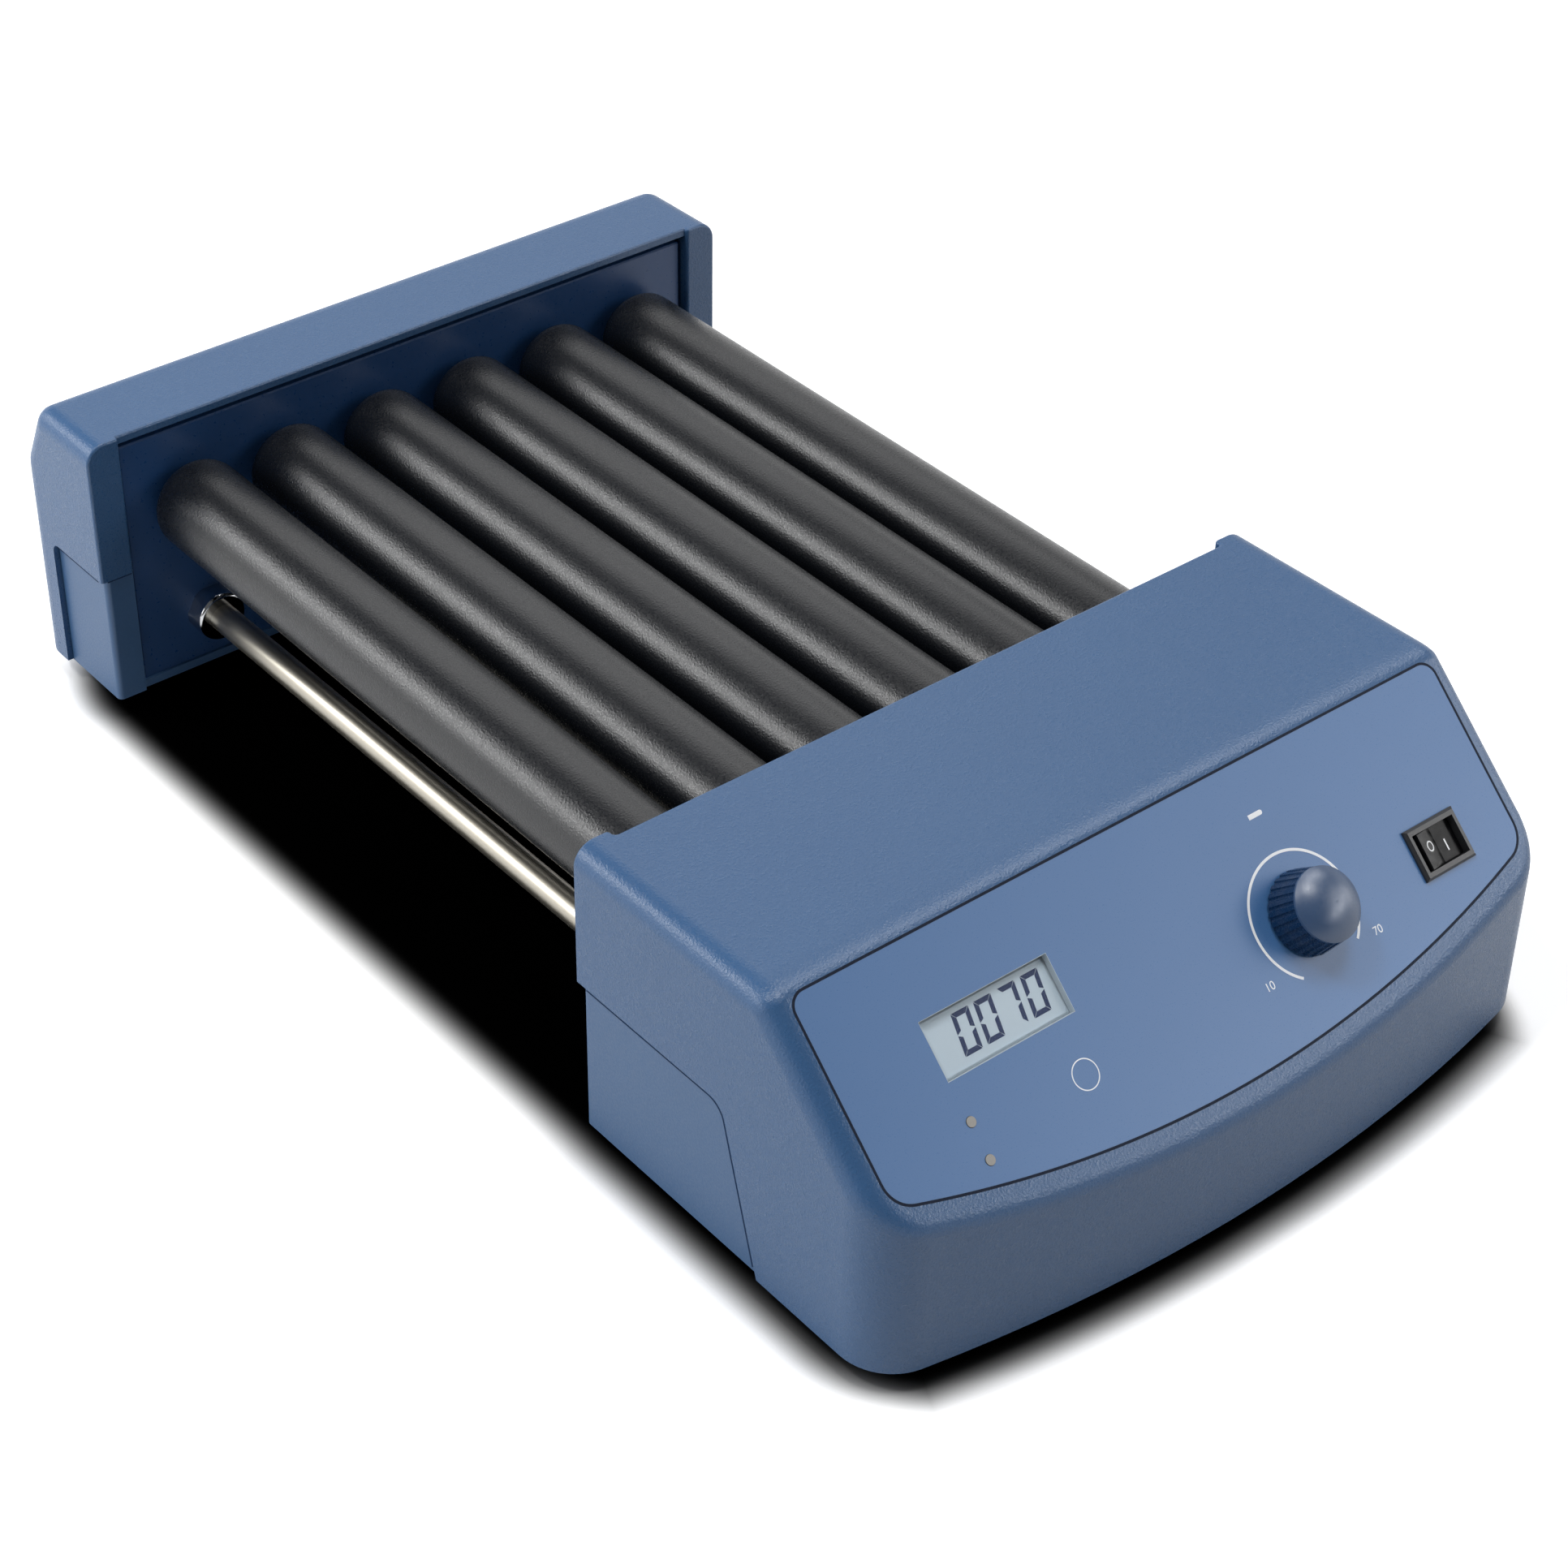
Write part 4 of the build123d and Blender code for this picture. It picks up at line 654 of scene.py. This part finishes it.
def floor_material():
    """Matt studio floor: pale for the light that it bounces, and white where it is seen.

    The camera, reflections and glass see the same floor brighter, so that open floor is
    white there. Under the object a painted shadow turns it dark: distance outside a box and
    inside the bowed front, both a little smaller than the object's outline, through a smooth step.
    """
    material, tree = new_material("pale_studio_floor")
    place = add_node(tree, "ShaderNodeTexCoord").outputs["Object"]
    sided = add_node(tree, "ShaderNodeVectorMath", {0: place}, operation="ABSOLUTE")
    beyond = add_node(
        tree,
        "ShaderNodeVectorMath",
        {0: sided.outputs["Vector"], 1: (SHADE_HALF_X, SHADE_HALF_Y, 0.0)},
        operation="SUBTRACT",
    )
    outside = add_node(
        tree,
        "ShaderNodeVectorMath",
        {0: beyond.outputs["Vector"], 1: (0.0, 0.0, 0.0)},
        operation="MAXIMUM",
    )
    from_box = add_node(tree, "ShaderNodeVectorMath", {0: outside.outputs["Vector"]}, operation="LENGTH")
    to_bow = add_node(
        tree, "ShaderNodeVectorMath", {0: place, 1: (0.0, BOW_CENTRE_Y, 0.0)}, operation="DISTANCE"
    )
    from_bow = add_node(
        tree, "ShaderNodeMath", {0: to_bow.outputs["Value"], 1: BOW_RADIUS}, operation="SUBTRACT"
    )
    away = add_node(
        tree,
        "ShaderNodeMath",
        {0: from_box.outputs["Value"], 1: from_bow.outputs["Value"]},
        operation="MAXIMUM",
    )
    open_share = add_node(
        tree,
        "ShaderNodeMapRange",
        {
            "Value": away.outputs["Value"],
            "From Min": DARK_UNTIL,
            "From Max": WHITE_FROM,
            "To Min": 0.02,
            "To Max": 1.0,
        },
        interpolation_type="SMOOTHSTEP",
    )
    # The painted shadow's step is even to the eye: its brightness follows the step to the power of 2.2
    painted_shadow_falloff = add_node(tree, "ShaderNodeMath", {0: open_share.outputs["Result"], 1: 2.2}, operation="POWER")
    rays = add_node(tree, "ShaderNodeLightPath")
    mirrored = add_node(
        tree,
        "ShaderNodeMath",
        {0: rays.outputs["Is Glossy Ray"], 1: rays.outputs["Is Transmission Ray"]},
        operation="MAXIMUM",
    )
    seen = add_node(
        tree,
        "ShaderNodeMath",
        {0: rays.outputs["Is Camera Ray"], 1: mirrored.outputs["Value"]},
        operation="MAXIMUM",
    )
    white = add_node(
        tree, "ShaderNodeMapRange", {"Value": rays.outputs["Is Camera Ray"], "To Min": 1.0, "To Max": 1.35}
    )
    shaded = add_node(
        tree,
        "ShaderNodeMath",
        {0: white.outputs["Result"], 1: painted_shadow_falloff.outputs["Value"]},
        operation="MULTIPLY",
    )
    colour = add_node(
        tree,
        "ShaderNodeMix",
        {"Factor": seen.outputs["Value"], "A": 0.5, "B": shaded.outputs["Value"]},
        data_type="FLOAT",
    )
    shader = add_node(tree, "ShaderNodeBsdfDiffuse", {"Color": colour.outputs["Result"]})
    return finish_material(material, shader)


# Half the side of the floor, in metres
FLOOR = 6.0
floor_mesh = bpy.data.meshes.new("studio_floor")
floor_corners = [(-FLOOR, -FLOOR, 0), (FLOOR, -FLOOR, 0), (FLOOR, FLOOR, 0), (-FLOOR, FLOOR, 0)]
floor_mesh.from_pydata(floor_corners, [], [(0, 1, 2, 3)])
floor_mesh.materials.append(floor_material())
floor = bpy.data.objects.new("studio_floor", floor_mesh)
bpy.context.scene.collection.objects.link(floor)


LAMP_DISTANCE = 1.4
OBJECT_MIDDLE = Vector((0.0, 0.0, 0.05))


def add_lamp(name, kind, direction, power, **settings):
    """A lamp in a direction from the object's middle, facing it."""
    lamp = bpy.data.lights.new(name, kind)
    lamp.energy = power
    for setting, value in settings.items():
        setattr(lamp, setting, value)
    made = bpy.data.objects.new(name, lamp)
    way = Vector(direction).normalized()
    made.location = way * LAMP_DISTANCE + OBJECT_MIDDLE
    made.rotation_euler = way.to_track_quat("Z", "Y").to_euler()
    bpy.context.scene.collection.objects.link(made)
    return made


def add_softbox(name, direction, power, across, up, lights=True):
    """A rectangular area lamp; one that doesn't light is a card that reflections alone show."""
    made = add_lamp(name, "AREA", direction, power, shape="RECTANGLE", size=across, size_y=up)
    made.visible_diffuse = lights


# Two soft suns give the plain light; the boxes and cards give the broad highlights. Each has
# its direction, its power in watts, and its width and height in metres.
add_lamp("overhead_sun", "SUN", (0.06, -0.06, 1.0), 1.2, angle=radians(20))
add_lamp("left_high_sun", "SUN", (-0.42, 0.15, 0.90), 0.8, angle=radians(8))
add_softbox("right_front_softbox", (0.60, -0.62, 0.50), 3.4, 0.8, 0.6)
add_softbox("right_card", (0.86, -0.44, 0.24), 2.6, 0.5, 0.5, lights=False)
add_softbox("front_card", (0.48, -0.82, 0.32), 4.0, 0.9, 0.2, lights=False)
add_softbox("brow_card", (0.50, 0.05, 0.86), 6.0, 0.35, 0.9, lights=False)
add_softbox("left_back_strip", (-0.63, 0.64, 0.44), 6.5, 0.8, 0.34)
add_softbox("right_back_softbox", (0.35, 0.64, 0.68), 2.5, 0.9, 0.6)
add_softbox("left_softbox", (-0.88, 0.30, 0.36), 3.2, 1.0, 0.5)

world = bpy.data.worlds.new("studio_world")
bpy.context.scene.world = world
world.use_nodes = True
sky_tree = world.node_tree
sky_tree.nodes.clear()
way = add_node(sky_tree, "ShaderNodeTexCoord").outputs["Generated"]
ways = add_node(sky_tree, "ShaderNodeSeparateXYZ", {"Vector": way})
# White walls behind and beside the object, a darker room in front of it, and a dim ceiling
DIMMEST = 0.12
walls = add_node(
    sky_tree,
    "ShaderNodeMapRange",
    {"Value": ways.outputs["Y"], "From Min": -0.6, "From Max": 0.3, "To Min": DIMMEST, "To Max": 1.0},
    interpolation_type="SMOOTHSTEP",
)
ceiling = add_node(
    sky_tree,
    "ShaderNodeMapRange",
    {"Value": ways.outputs["Z"], "From Min": 0.3, "From Max": 0.6, "To Min": 1.0, "To Max": 0.0},
    interpolation_type="SMOOTHSTEP",
)
horizon = add_node(
    sky_tree,
    "ShaderNodeMapRange",
    {"Value": ways.outputs["Z"], "From Min": 0.0, "From Max": 0.05, "To Min": 1.0, "To Max": 0.0},
)
lit = add_node(
    sky_tree,
    "ShaderNodeMath",
    {0: walls.outputs["Result"], 1: horizon.outputs["Result"]},
    operation="MAXIMUM",
)
glow = add_node(
    sky_tree,
    "ShaderNodeMath",
    {0: lit.outputs["Value"], 1: ceiling.outputs["Result"]},
    operation="MULTIPLY",
)
total = add_node(
    sky_tree, "ShaderNodeMath", {0: glow.outputs["Value"], 1: DIMMEST}, operation="MAXIMUM"
)
sky = add_node(
    sky_tree, "ShaderNodeBackground", {"Color": srgb("#ffffff"), "Strength": total.outputs["Value"]}
)
add_node(sky_tree, "ShaderNodeOutputWorld", {"Surface": sky.outputs["Background"]})

# The camera that was fitted to the housings' corners and the rollers, in metres
camera_data = bpy.data.cameras.new("photo_camera")
camera_data.sensor_width = 36.0
camera_data.lens = 75.37
camera_data.shift_x = 0.0528
camera_data.shift_y = -0.0683
camera = bpy.data.objects.new("photo_camera", camera_data)
RIGHT = Vector((0.784, -0.6207, 0.0)).normalized()
BACK = Vector((-0.5076, -0.6411, 0.5755)).normalized()
UP = BACK.cross(RIGHT).normalized()
view = Matrix((RIGHT, UP, BACK)).transposed().to_4x4()
view.translation = Vector((-0.54495, -0.6648, 0.6675))
camera.matrix_world = view
bpy.context.scene.collection.objects.link(camera)
bpy.context.scene.camera = camera
bpy.context.scene.view_settings.view_transform = "Standard"
